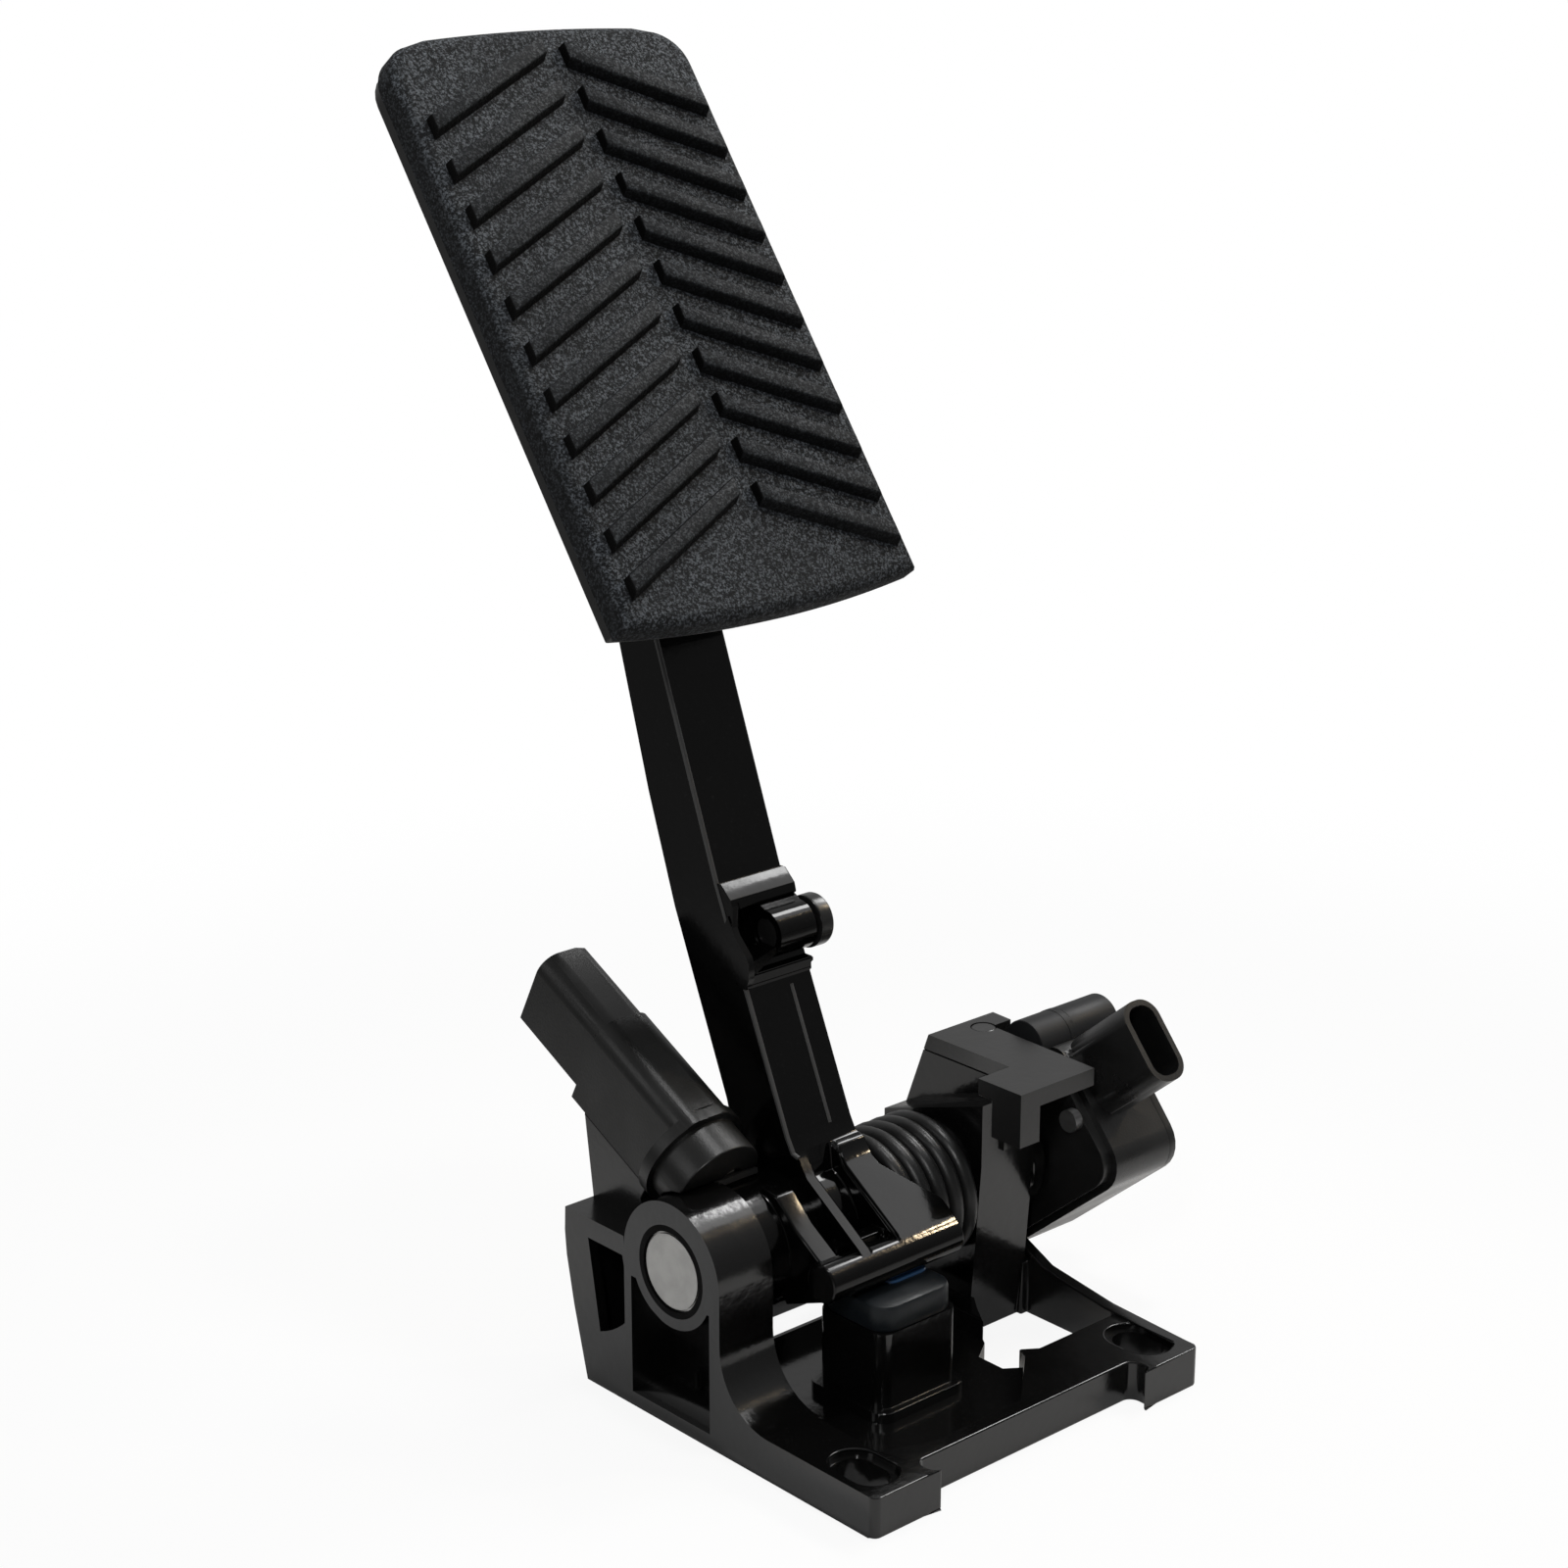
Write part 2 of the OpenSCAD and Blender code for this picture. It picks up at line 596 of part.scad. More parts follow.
// A closed tube of radius r with n sides along a path; side holds a direction across it at each point
module swept(path, side, r, n) {
    last = len(path) - 1;
    function way(i) = unit(path[min(i + 1, last)] - path[max(i - 1, 0)]);
    points = [for (i = [0:last]) let (t = way(i), u = unit(side[i] - (side[i] * t) * t), w = cross(t, u))
        for (k = [0:n - 1]) path[i] + r * (cos(360 * k / n) * u + sin(360 * k / n) * w)];
    sides = [for (i = [0:last - 1], k = [0:n - 1]) let (a = i * n + k, b = i * n + (k + 1) % n)
        [a, a + n, b + n, b]];
    caps = [[for (k = [0:n - 1]) k], [for (k = [n - 1:-1:0]) last * n + k]];
    polyhedron(points, concat(sides, caps));
}
module spring_sleeve() {
    color("#202022") difference() {
        bar_x(arm_right + 1.3, ring_x - 0.2, sleeve_r);
        bar_x(arm_right, ring_x + 1, shaft_r + run_gap);
    }
}

// Rest stop under the crank bar
module stop_bumper() {
    h = crank_z - crank_d / 2 - cap_t - seat - tower_z;
    color("#1b252d") translate([arm_x, crank_y, tower_z]) {
        translate([0, 0, -stem_h + 0.5]) cylinder(r = stem_r, h = stem_h);
        rotate_extrude() polygon([[0, 0], [bumper_r, 0], [bumper_r, h - 1.2], [bumper_r - 1, h], [0, h]]);
    }
}
module bumper_cap() {
    color("#1d4e80") translate([arm_x, crank_y, crank_z - crank_d / 2 - cap_t - seat])
        cylinder(r = bumper_r - 1.2, h = cap_t);
}

// Idle switch: housing with its collar and connector
module switch_housing() {
    w = switch_w / 2;
    step = 0.5;
    color("#1c1d1c") at_switch() difference() {
        union() {
            rotate([90, 0, 0]) cylinder(r = collar_r - 1.8, h = collar_t + 5);
            translate([0, 3, 0]) rotate([90, 0, 0]) cylinder(r = collar_r, h = collar_t - 1);
            translate([-w, switch_len, switch_low]) rotate([90, 0, 0])
                linear_extrude(switch_len) plug_shape(switch_w, switch_top - switch_low);
            translate([-w + step, switch_len + switch_plug, plug_low]) rotate([90, 0, 0])
                linear_extrude(switch_plug + 1) plug_shape(switch_w - 2 * step, switch_top - plug_low - step);
        }
        // Room for the boss under the collar
        rotate([-switch_tilt, 0, 0]) translate([-switch_x, -switch_y, -switch_z])
            bar_x(left_face, arm_left, boss_r + 0.4);
        // Mouth of the connector
        translate([-w + step + 1.6, switch_len + switch_plug + e, plug_low + 1.6]) rotate([90, 0, 0])
            linear_extrude(mouth_t) plug_shape(switch_w - 2 * step - 3.2, switch_top - plug_low - step - 3.2);
        // Bore of the plunger and its spring
        translate([4, 16, plunger_w]) rotate([90, 0, 0]) cylinder(r = plunger_r + 0.05, h = 30);
        for (v = switch_screw_v) translate([0, v, switch_low - 1]) cylinder(d = 3, h = 8);
    }
}
plunger_w = 0;
plunger_r = 3;
module plug_shape(w, h) {
    r = 5;
    square([w, h - r]);
    translate([r, 0]) square([w - 2 * r, h]);
    for (x = [r, w - r]) translate([x, h - r]) circle(r);
}
module switch_terminals() {
    color("#b08d4a") at_switch() for (x = [-3, 3], z = [0, 6])
        translate([x - 0.4, switch_len + switch_plug + e - mouth_t, z - 0.8]) cube([0.8, 12, 1.6]);
}
// The pivot in the switch's frame, and how far the plunger reaches towards the hub
hub_v = -(switch_y - pivot_y) * cos(switch_tilt) - (switch_z - pivot_z) * sin(switch_tilt);
hub_w = (switch_y - pivot_y) * sin(switch_tilt) - (switch_z - pivot_z) * cos(switch_tilt);
plunger_tip = hub_v + sqrt(pow(hub_r, 2) - pow(plunger_w - plunger_r + 1 - hub_w, 2)) + seat;
module switch_plunger() {
    h = 8 - plunger_tip;
    color("#c9c3b4") at_switch() translate([4, 8, plunger_w]) rotate([90, 0, 0]) {
        cylinder(r = plunger_r, h = h - 2);
        translate([0, 0, h - 2]) cylinder(r1 = plunger_r, r2 = plunger_r - 1, h = 2);
    }
}
module switch_spring() {
    color("#9a9a98") at_switch() translate([4, 15.9, plunger_w]) rotate([90, 0, 0]) difference() {
        cylinder(r = 2.6, h = 7.6);
        translate([0, 0, -1]) cylinder(r = 1.8, h = 10);
    }
}
module switch_screws() {
    color("#77777a") at_switch() for (v = switch_screw_v) translate([0, v, switch_low - wall]) {
        translate([0, 0, -2.6]) cylinder(d = 5.6, h = 2.6);
        translate([0, 0, -e]) cylinder(d = 2.9, h = wall + 6);
    }
}

// Position sensor on the right
sensor_low = 23;
sensor_high = -13.5;
sensor_back = -26;
sensor_flange = 2.6;
module sensor_outline(inset) {
    a = sensor_reach - inset;
    b = sensor_low - inset;
    c = sensor_high + inset;
    d = sensor_back + inset;
    front_r = 8 - inset;
    rear_r = 12 - inset;
    top_r = 4.5 - inset;
    polygon(concat(arc(a - front_r, b - front_r, front_r, 0, 90, 6),
        arc(d + rear_r, b - rear_r, rear_r, 90, 180, 6), arc(d + rear_r, c + rear_r, rear_r, 180, 270, 6),
        arc(a - top_r, c + top_r, top_r, 270, 360, 4)));
}
module plug_mouth(inset) {
    translate([plug_x0 + inset, -13 + inset]) round_rect(11.5 - 2 * inset, 21 - 2 * inset, 5 - inset);
}
plug_x0 = sensor_x + 5;
module sensor_housing() {
    color("#29292a") difference() {
        union() {
            at_sensor() {
                along_x(sensor_x, sensor_x + sensor_flange) sensor_outline(1.8);
                along_x(sensor_x + sensor_flange, sensor_out - 2.5) sensor_outline(0);
                translate([0, sensor_reach + plug_len, 0]) rotate([90, 0, 0])
                    linear_extrude(plug_len + 1) plug_mouth(0);
            }
        }
        // Hollow for rotor and board
        at_sensor() along_x(sensor_x + shell, sensor_out) sensor_outline(shell);
        at_sensor() {
            translate([0, sensor_reach + plug_len + e, 0]) rotate([90, 0, 0])
                linear_extrude(plug_len - 3) plug_mouth(1.5);
            terminal_bars();
        }
        bar_x(sensor_x - 1, sensor_x + 10, shaft_r + 0.5);
        at_sensor() for (p = near_screws) translate([sensor_x - 1, p[0], p[1]]) rotate([0, 90, 0])
            cylinder(d = 3, h = shell + 2);
        // Saddle of the grey plug
        bar_x(sensor_x - 1, sensor_out + 1, grey_r + 0.1, grey_y, grey_z);
    }
}
module sensor_cover() {
    color("#202021") at_sensor() difference() {
        along_x(sensor_out - 2.5, sensor_out) sensor_outline(0);
        rotate([-(180 - sensor_tilt), 0, 0]) translate([0, -pivot_y, -pivot_z])
            bar_x(sensor_x - 1, sensor_out + 1, grey_r + 0.1, grey_y, grey_z);
    }
}
module sensor_rotor() {
    color("#d8d4c6") difference() {
        bar_x(shaft_end, shaft_end + 5, -sensor_high - shell - 0.7);
        bar_x(shaft_end + 3, shaft_end + 6, 6);
    }
}
module sensor_magnet() color("#55565a") bar_x(shaft_end + 3, shaft_end + 5, 6);
module sensor_board() {
    color("#1f5a37") at_sensor() translate([pin_x + 0.8, -16, -7.5])
        cube([1.6, sensor_reach - shell + 16, 22]);
}
pin_x = shaft_end + 6.5;
module terminal_bars() {
    for (z = [-8, -3.5, 1]) translate([pin_x, sensor_reach - 9, z - 0.8])
        cube([0.8, plug_len - 1, 1.6]);
}
module sensor_terminals() {
    color("#b08d4a") at_sensor() terminal_bars();
}
module sensor_seal() {
    color("#0d0d0d") difference() {
        bar_x(boss_end, sensor_x, bush_r + 2.5);
        bar_x(boss_end - 1, sensor_x + 1, shaft_r + 1);
    }
}
// Places of the screws in the sensor's frame: two through its near face, two in the cover
near_screws = [[sensor_reach - 4.3, 4.7], [sensor_back + 5.5, -1]];
cover_screws = [[sensor_reach - 7, 4], [sensor_back + 9, 8]];
module sensor_screws() {
    color("#77777a") at_sensor() {
        for (p = near_screws) translate([0, p[0], p[1]]) rotate([0, 90, 0]) {
            translate([0, 0, sensor_x - 2.4]) cylinder(d = 5.5, h = 2.4);
            translate([0, 0, sensor_x - e]) cylinder(d = 2.9, h = shell);
        }
        for (p = cover_screws) translate([sensor_out, p[0], p[1]]) rotate([0, 90, 0])
            cylinder(d = 5.5, h = 1.8);
    }
}

// Grey plug that lies over the sensor, with its wire seal
grey_r = 6.5;
grey_y = pivot_y - 6;
grey_z = pivot_z + 27.3;
module grey_plug() {
    color("#474b50") difference() {
        union() {
            bar_x(sensor_x + 2, sensor_out + 5, grey_r, grey_y, grey_z);
            bar_x(sensor_x + 12, sensor_x + 14, grey_r + 0.1, grey_y, grey_z);
        }
        bar_x(sensor_out + 2, sensor_out + 6, grey_r - 1.3, grey_y, grey_z);
    }
}
module plug_seal() {
    color("#c9bf9f") difference() {
        bar_x(sensor_out + 2, sensor_out + 6, grey_r - 1.3, grey_y, grey_z);
        for (s = [-2.2, 2.2]) bar_x(sensor_out + 3, sensor_out + 7, 1.2, grey_y + s, grey_z);
    }
}

// Clamp plate on the right upright, with a claw at its front
clamp_x = right_x + 6.5;
clamp_z = pivot_z + 26.6;
clamp_t = 4.4;
clamp_screw_x = right_out + 2;
clamp_screw_y = pivot_y + 3;
claw_h = 9;
// Rear slope of the upper block and the plate
function slant_y(z) = pivot_y + 8.4 + (clamp_z + clamp_t - z) * (post_rear - pivot_y - 8.4) / 22;
module clamp_plate() {
    front = pivot_y - 32.8;
    neck = pivot_y - 19;
    top = clamp_z + clamp_t;
    color("#3a3b3c") difference() {
        union() {
            translate([0, 0, clamp_z]) linear_extrude(clamp_t) polygon([
                [clamp_x - 10.5, front], [right_out + 2.8, front], [right_out + 4, pivot_y + 2],
                [side_x + 6, pivot_y + 2], [side_x + 6.5, pivot_y + 12], [clamp_x, pivot_y + 12],
                [clamp_x, neck], [clamp_x - 10.5, neck]]);
            translate([clamp_x - 10.5, front, clamp_z - claw_h]) cube([6.5, 9.6, claw_h + e]);
        }
        // Rear edge follows the block's slope
        along_x(clamp_x - 1, side_x + 8) polygon([[slant_y(clamp_z - 1), clamp_z - 1],
            [slant_y(top + 1), top + 1], [pivot_y + 20, top + 1], [pivot_y + 20, clamp_z - 1]]);
        translate([clamp_screw_x, clamp_screw_y, clamp_z - 1]) cylinder(d = 4.4, h = 8);
        translate([clamp_screw_x, clamp_screw_y, top - 1.6]) cylinder(d = 6.4, h = 3);
    }
}
module clamp_screw() {
    color("#4a4a4c") translate([clamp_screw_x, clamp_screw_y, clamp_z]) {
        translate([0, 0, clamp_t - 1.6]) cylinder(d = 6, h = 1.5);
        translate([0, 0, -5]) cylinder(d = 3.9, h = clamp_t + 4);
    }
}

base();
left_bush();
right_bush();
pivot_shaft();
retaining_ring();
hub_pin();
pedal_arm();
catch_pin();
pad_plate();
pad_tread();
pad_screws();
return_spring();
spring_sleeve();
stop_bumper();
bumper_cap();
switch_housing();
switch_terminals();
switch_plunger();
switch_spring();
switch_screws();
sensor_housing();
sensor_cover();
sensor_rotor();
sensor_magnet();
sensor_board();
sensor_terminals();
sensor_seal();
sensor_screws();
grey_plug();
plug_seal();
clamp_plate();
clamp_screw();
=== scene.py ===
"""The finished look of a floor-mounted accelerator pedal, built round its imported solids."""
import json
import math

import bmesh
import bpy
from mathutils import Matrix, Vector
from mathutils.bvhtree import BVHTree
from mathutils.kdtree import KDTree

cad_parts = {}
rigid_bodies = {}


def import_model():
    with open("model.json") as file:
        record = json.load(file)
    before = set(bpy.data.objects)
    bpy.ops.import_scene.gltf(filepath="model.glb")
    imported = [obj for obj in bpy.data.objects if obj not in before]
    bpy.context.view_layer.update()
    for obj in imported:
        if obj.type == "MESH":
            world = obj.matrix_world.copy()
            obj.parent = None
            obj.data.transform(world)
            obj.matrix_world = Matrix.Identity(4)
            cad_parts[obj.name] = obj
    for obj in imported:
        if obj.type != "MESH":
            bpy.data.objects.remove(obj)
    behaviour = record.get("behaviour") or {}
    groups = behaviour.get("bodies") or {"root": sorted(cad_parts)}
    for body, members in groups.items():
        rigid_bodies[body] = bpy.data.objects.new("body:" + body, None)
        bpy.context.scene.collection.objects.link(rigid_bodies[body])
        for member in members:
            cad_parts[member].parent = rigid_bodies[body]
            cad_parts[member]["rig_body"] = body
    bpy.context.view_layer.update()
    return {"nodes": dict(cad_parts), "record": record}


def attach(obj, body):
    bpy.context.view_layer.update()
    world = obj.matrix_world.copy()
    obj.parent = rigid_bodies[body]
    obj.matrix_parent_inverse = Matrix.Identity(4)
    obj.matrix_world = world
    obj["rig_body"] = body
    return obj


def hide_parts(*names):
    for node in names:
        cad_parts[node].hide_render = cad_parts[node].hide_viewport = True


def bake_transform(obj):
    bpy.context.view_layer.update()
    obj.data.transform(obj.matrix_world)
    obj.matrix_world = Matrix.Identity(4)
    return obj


bl_info = {
    "name": "Accelerator Pedal",
    "version": (1, 0, 0),
    "blender": (4, 5, 0),
    "location": "3D View > Sidebar > Pedal",
    "description": "Dresses a floor-mounted accelerator pedal with its castings, tread, spring and sensors",
    "category": "Add Mesh",
}

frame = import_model()
MM = 0.001
PIVOT = Vector((0.0, 18.0, 39.0)) * MM
RUBBER_TINT = (0.92, 1.0, 1.1)
DUST = (0.035, 0.035, 0.037, 1)
BACKDROP_IN_GLOSS = 0.12  # share of the white backdrop that gloss and glass show

MERGE = 1e-6          # corners nearer than this, in metres, become one
CAD_MERGE = 2e-6

# Rounding of the CAD pieces' edges
PLANAR_DEGREES = 0.8  # faces that turn by less are joined before their edges are rounded
SHARP_DEGREES = 28.0  # edges that turn by more are rounded
ROUND_SEGMENTS = 2
ROUND_TRIES = 16
CORNER_TRIES = 5      # tries that ease the torn corners alone, before whole faces are eased
LEAST_WEIGHT = 0.3    # an edge that tears at this weight or less stays sharp


# ---------------------------------------------------------------- node trees
class Signal:
    """A socket of a node tree, so that maths on it reads as a plain expression."""

    def __init__(self, graph, socket):
        self.graph = graph
        self.socket = socket

    def maths(self, operation, *values):
        return self.graph.add("ShaderNodeMath", {"operation": operation}, dict(enumerate(values)))

    def __add__(self, other):
        return self.maths("ADD", self, other)

    def __radd__(self, other):
        return self.maths("ADD", other, self)

    def __sub__(self, other):
        return self.maths("SUBTRACT", self, other)

    def __rsub__(self, other):
        return self.maths("SUBTRACT", other, self)

    def __mul__(self, other):
        return self.maths("MULTIPLY", self, other)

    def __rmul__(self, other):
        return self.maths("MULTIPLY", other, self)

    def least(self, other):
        return self.maths("MINIMUM", self, other)

    def most(self, other):
        return self.maths("MAXIMUM", self, other)

    def sine(self):
        return self.maths("SINE", self)

    def cosine(self):
        return self.maths("COSINE", self)

    def ramp(self, low, high, start=0.0, end=1.0):
        """Maps low..high to start..end with soft ends."""
        return self.graph.add("ShaderNodeMapRange", {"interpolation_type": "SMOOTHSTEP"},
                              {0: self, 1: low, 2: high, 3: start, 4: end})


class Graph:
    """A material's or a modifier's node tree."""

    def __init__(self, tree):
        self.tree = tree

    def node(self, kind, settings=None, sockets=None):
        """Adds one node: its settings go in first, then the values or links of its sockets."""
        node = self.tree.nodes.new(kind)
        for name, value in (settings or {}).items():
            setattr(node, name, value)
        for key, value in (sockets or {}).items():
            self.feed(node.inputs[key], value)
        return node

    def add(self, kind, settings=None, sockets=None, out=0):
        """Adds one node and returns one of its outputs, ready for maths."""
        return Signal(self, self.node(kind, settings, sockets).outputs[out])

    def feed(self, socket, value):
        if isinstance(value, Signal):
            self.tree.links.new(value.socket, socket)
        else:
            socket.default_value = value

    def mix(self, amount, first, second):
        """A colour between first and second."""
        return self.add("ShaderNodeMix", {"data_type": "RGBA"}, {0: amount, 6: first, 7: second}, out=2)


def rgb(value, tint=(1.0, 1.0, 1.0)):
    """A linear colour from an 8-bit grey level, with a slight tint."""
    level = ((value / 255 + 0.055) / 1.055) ** 2.4 if value > 10 else value / 255 / 12.92
    return (level * tint[0], level * tint[1], level * tint[2], 1.0)


def paint(name):
    """A new material with its graph, its shader node and its place on the object in metres."""
    material = bpy.data.materials.new(name)
    material.use_nodes = True
    material.node_tree.nodes.clear()
    graph = Graph(material.node_tree)
    shader = graph.node("ShaderNodeBsdfPrincipled")
    graph.node("ShaderNodeOutputMaterial", {}, {0: Signal(graph, shader.outputs[0])})
    place = graph.add("ShaderNodeTexCoord", out=3)
    return material, graph, shader, place


def noise(graph, place, scale, detail=2.0, rough=0.5):
    """Noise with scale patches to the metre."""
    return graph.add("ShaderNodeTexNoise", {}, {"Vector": place, "Scale": scale, "Detail": detail,
                                                "Roughness": rough})


def bump(graph, height, strength, distance):
    """A normal that follows height, distance metres deep."""
    return graph.add("ShaderNodeBump", {}, {"Strength": strength, "Distance": distance, "Height": height})


def shaded(colour, share):
    """A colour with its levels multiplied by share."""
    return tuple(level * share for level in colour[:3]) + (1,)


# ---------------------------------------------------------------- settings
def colour_prop(name, description, level, tint=(1.0, 1.0, 1.0)):
    """A colour setting, from an 8-bit grey level and a tint."""
    return bpy.props.FloatVectorProperty(name=name, description=description, subtype="COLOR", size=4,
                                         min=0.0, max=1.0, default=rgb(level, tint))


def length_prop(name, description, millimetres):
    """A length setting in metres, from its default in millimetres."""
    return bpy.props.FloatProperty(name=name, description=description, default=millimetres * MM,
                                   min=0.0, unit="LENGTH", precision=5)


class PedalColours(bpy.types.PropertyGroup):
    """Colours of the pedal's finishes."""
    casting: colour_prop("Casting", "Gloss black coat of the base", 9)
    tread: colour_prop("Tread", "Grained rubber of the foot pad", 24, RUBBER_TINT)
    speck: colour_prop("Tread specks", "Worn grain tips of the foot pad", 99, (0.9, 1.0, 1.12))
    # painted shade: the dark colour laid on the ribs' side faces
    rib: colour_prop("Ribs", "Dark sides of the chevron ribs", 2)
    spring: colour_prop("Spring", "Coated spring wire", 20)
    steel: colour_prop("Steel", "Ground end of the pivot shaft", 168, (1.0, 0.99, 0.96))
    sensor: colour_prop("Sensor", "Moulded sensor housing and its cover", 20)
    connector: colour_prop("Switch", "Moulded switch and its connector", 13, (1.0, 1.02, 0.96))
    grey_plug: colour_prop("Grey plug", "Grey plug over the sensor", 30, (0.94, 0.99, 1.08))
    cream: colour_prop("Wire seal", "Cream wire seal", 196, (1.0, 0.95, 0.78))
    bumper: colour_prop("Bumper", "Rubber rest stop", 20, (0.72, 1.0, 1.28))
    blue: colour_prop("Bumper cap", "Blue cap of the rest stop", 96, (0.25, 0.75, 1.7))


class PedalSizes(bpy.types.PropertyGroup):
    """Sizes that the dressed pieces share."""
    pad_width: length_prop("Pad width", "Width of the foot pad", 87)
    pad_height: length_prop("Pad height", "Height of the foot pad along its sides", 145)
    pad_lean: bpy.props.FloatProperty(name="Pad lean", description="Lean of the pad from upright",
                                      default=math.radians(35.75), subtype="ANGLE")
    tread: length_prop("Tread", "Thickness of the rubber under its ribs", 7)
    rib_width: length_prop("Rib width", "Width of a chevron rib", 3.7)
    rib_height: length_prop("Rib height", "Height of a chevron rib", 2.7)
    rib_count: bpy.props.IntProperty(name="Ribs", description="Chevron ribs on the pad",
                                     default=11, min=2)
    wire: length_prop("Wire", "Diameter of the spring wire", 4.3)
    coil: length_prop("Coil", "Mean diameter of the spring's coils", 32.4)
    coil_pitch: length_prop("Coil pitch", "Distance from coil to coil", 4.6)
    coil_turns: bpy.props.FloatProperty(name="Coils", description="Number of coils", default=4.5)


def colours():
    """The colours set in the sidebar."""
    return bpy.context.scene.pedal_colours


def sizes():
    """The sizes set in the sidebar, in metres."""
    return bpy.context.scene.pedal_sizes


# ---------------------------------------------------------------- finishes
def gloss_coat(name, colour, rough=0.24, orange_peel=0.12, shine=0.5):
    """Gloss black coat on a casting: faint orange peel, dust and rubbed patches."""
    material, graph, shader, place = paint(name)
    cloud = noise(graph, place, 26, 3)
    dust = noise(graph, place, 1300, 2).ramp(0.6, 0.8)
    graph.feed(shader.inputs["Base Color"], graph.mix(dust * cloud * 0.3, tuple(colour), DUST))
    graph.feed(shader.inputs["Roughness"], cloud.ramp(0.3, 0.75, rough - 0.04, rough + 0.1))
    shader.inputs["Specular IOR Level"].default_value = shine
    peel = noise(graph, place, 420, 2)
    waves = noise(graph, place, 60, 1)
    graph.feed(shader.inputs["Normal"], bump(graph, peel + waves * 2.0, orange_peel, 0.00035))
    return material


def tread_rubber(name, colour, speck, sides, face_share_on_shaded_sides=0.0):
    """Pebbled rubber whose tips catch the light, with painted shade: darker where it turns away from the
    pad's face.
    """
    material, graph, shader, place = paint(name)
    lean = sizes().pad_lean
    facing = graph.add("ShaderNodeTexCoord", out=1)
    outward = graph.add("ShaderNodeVectorMath", {"operation": "DOT_PRODUCT"},
                        {0: facing, 1: (0.0, -math.cos(lean), math.sin(lean))}, out=1)
    # painted shade: faces that turn away from the pad's face keep only a share of the face colour and take
    # the dark sides colour
    face = outward.ramp(0.25, 0.8, face_share_on_shaded_sides, 1.0)
    pebbles = graph.add("ShaderNodeTexVoronoi", {"feature": "F1"}, {"Vector": place, "Scale": 1250.0})
    fine = noise(graph, place, 2300, 2, 0.7)
    broad = noise(graph, place, 700, 2)
    grain = fine * 0.9 + broad * 0.35 - pebbles * 0.3
    tips = grain.ramp(0.38, 0.7)
    cloud = noise(graph, place, 45, 2).ramp(0.3, 0.7, 0.7, 1.0)
    worn = graph.mix(tips * cloud, tuple(colour), tuple(speck))
    # the sides colour is painted shade, not the rubber's own colour
    graph.feed(shader.inputs["Base Color"], graph.mix(face, tuple(sides), worn))
    graph.feed(shader.inputs["Roughness"], tips.ramp(0.0, 1.0, 0.75, 0.55))
    shader.inputs["Specular IOR Level"].default_value = 0.12
    graph.feed(shader.inputs["Normal"], bump(graph, grain, 0.5, 0.0004))
    return material


def smooth_rubber(name, colour, rough=0.42, shine=0.5):
    """Rubber or silicone with soft clouds of wear."""
    material, graph, shader, place = paint(name)
    cloud = noise(graph, place, 160, 3)
    graph.feed(shader.inputs["Base Color"],
               graph.mix(cloud.ramp(0.4, 0.8) * 0.4, tuple(colour), shaded(colour, 1.8)))
    graph.feed(shader.inputs["Roughness"], cloud.ramp(0.3, 0.7, rough, rough + 0.16))
    shader.inputs["Specular IOR Level"].default_value = shine
    graph.feed(shader.inputs["Normal"], bump(graph, noise(graph, place, 1500, 2), 0.12, 0.0002))
    return material


def moulded_plastic(name, colour, rough=0.35, grain=0.1, shine=0.5):
    """Moulded plastic with a fine spark-eroded grain."""
    material, graph, shader, place = paint(name)
    cloud = noise(graph, place, 70, 3)
    graph.feed(shader.inputs["Base Color"],
               graph.mix(cloud.ramp(0.35, 0.75) * 0.35, tuple(colour), shaded(colour, 1.35)))
    graph.feed(shader.inputs["Roughness"], cloud.ramp(0.3, 0.7, rough - 0.04, rough + 0.08))
    shader.inputs["Specular IOR Level"].default_value = shine
    graph.feed(shader.inputs["Normal"], bump(graph, noise(graph, place, 1900, 2), grain, 0.00025))
    return material


def bare_steel(name, colour, rough=0.3, turned=None):
    """Ground steel; turned gives the axis centre for lathe marks seen on its end."""
    material, graph, shader, place = paint(name)
    shader.inputs["Metallic"].default_value = 1.0
    cloud = noise(graph, place, 180, 4)
    if turned is None:
        drawn = graph.add("ShaderNodeMapping", {}, {"Vector": place, "Scale": (1500, 60, 1500)})
        marks = noise(graph, drawn, 1.0, 2)
    else:
        local = graph.add("ShaderNodeMapping", {}, {"Vector": place, "Location": tuple(-turned)})
        radius = graph.add("ShaderNodeVectorMath", {"operation": "LENGTH"},
                           {0: graph.add("ShaderNodeVectorMath", {"operation": "MULTIPLY"},
                                         {0: local, 1: (0.0, 1.0, 1.0)})}, out=1)
        ring = graph.add("ShaderNodeCombineXYZ", {}, {0: radius * 2600.0})
        marks = noise(graph, ring, 1.0, 3)
    graph.feed(shader.inputs["Base Color"],
               graph.mix(cloud.ramp(0.35, 0.7) * 0.35, tuple(colour), shaded(colour, 0.62)))
    graph.feed(shader.inputs["Roughness"], marks.ramp(0.3, 0.7, rough, rough + 0.16))
    graph.feed(shader.inputs["Normal"], bump(graph, marks, 0.12, 0.0001))
    return material


def plain_board(name):
    """Green board with faint tracks."""
    material, graph, shader, place = paint(name)
    tracks = graph.add("ShaderNodeTexWave", {"bands_direction": "Y"},
                       {"Vector": place, "Scale": 260.0, "Distortion": 2.0})
    graph.feed(shader.inputs["Base Color"],
               graph.mix(tracks, (0.02, 0.16, 0.06, 1), (0.05, 0.28, 0.12, 1)))
    shader.inputs["Roughness"].default_value = 0.4
    return material


FINISHES = {}


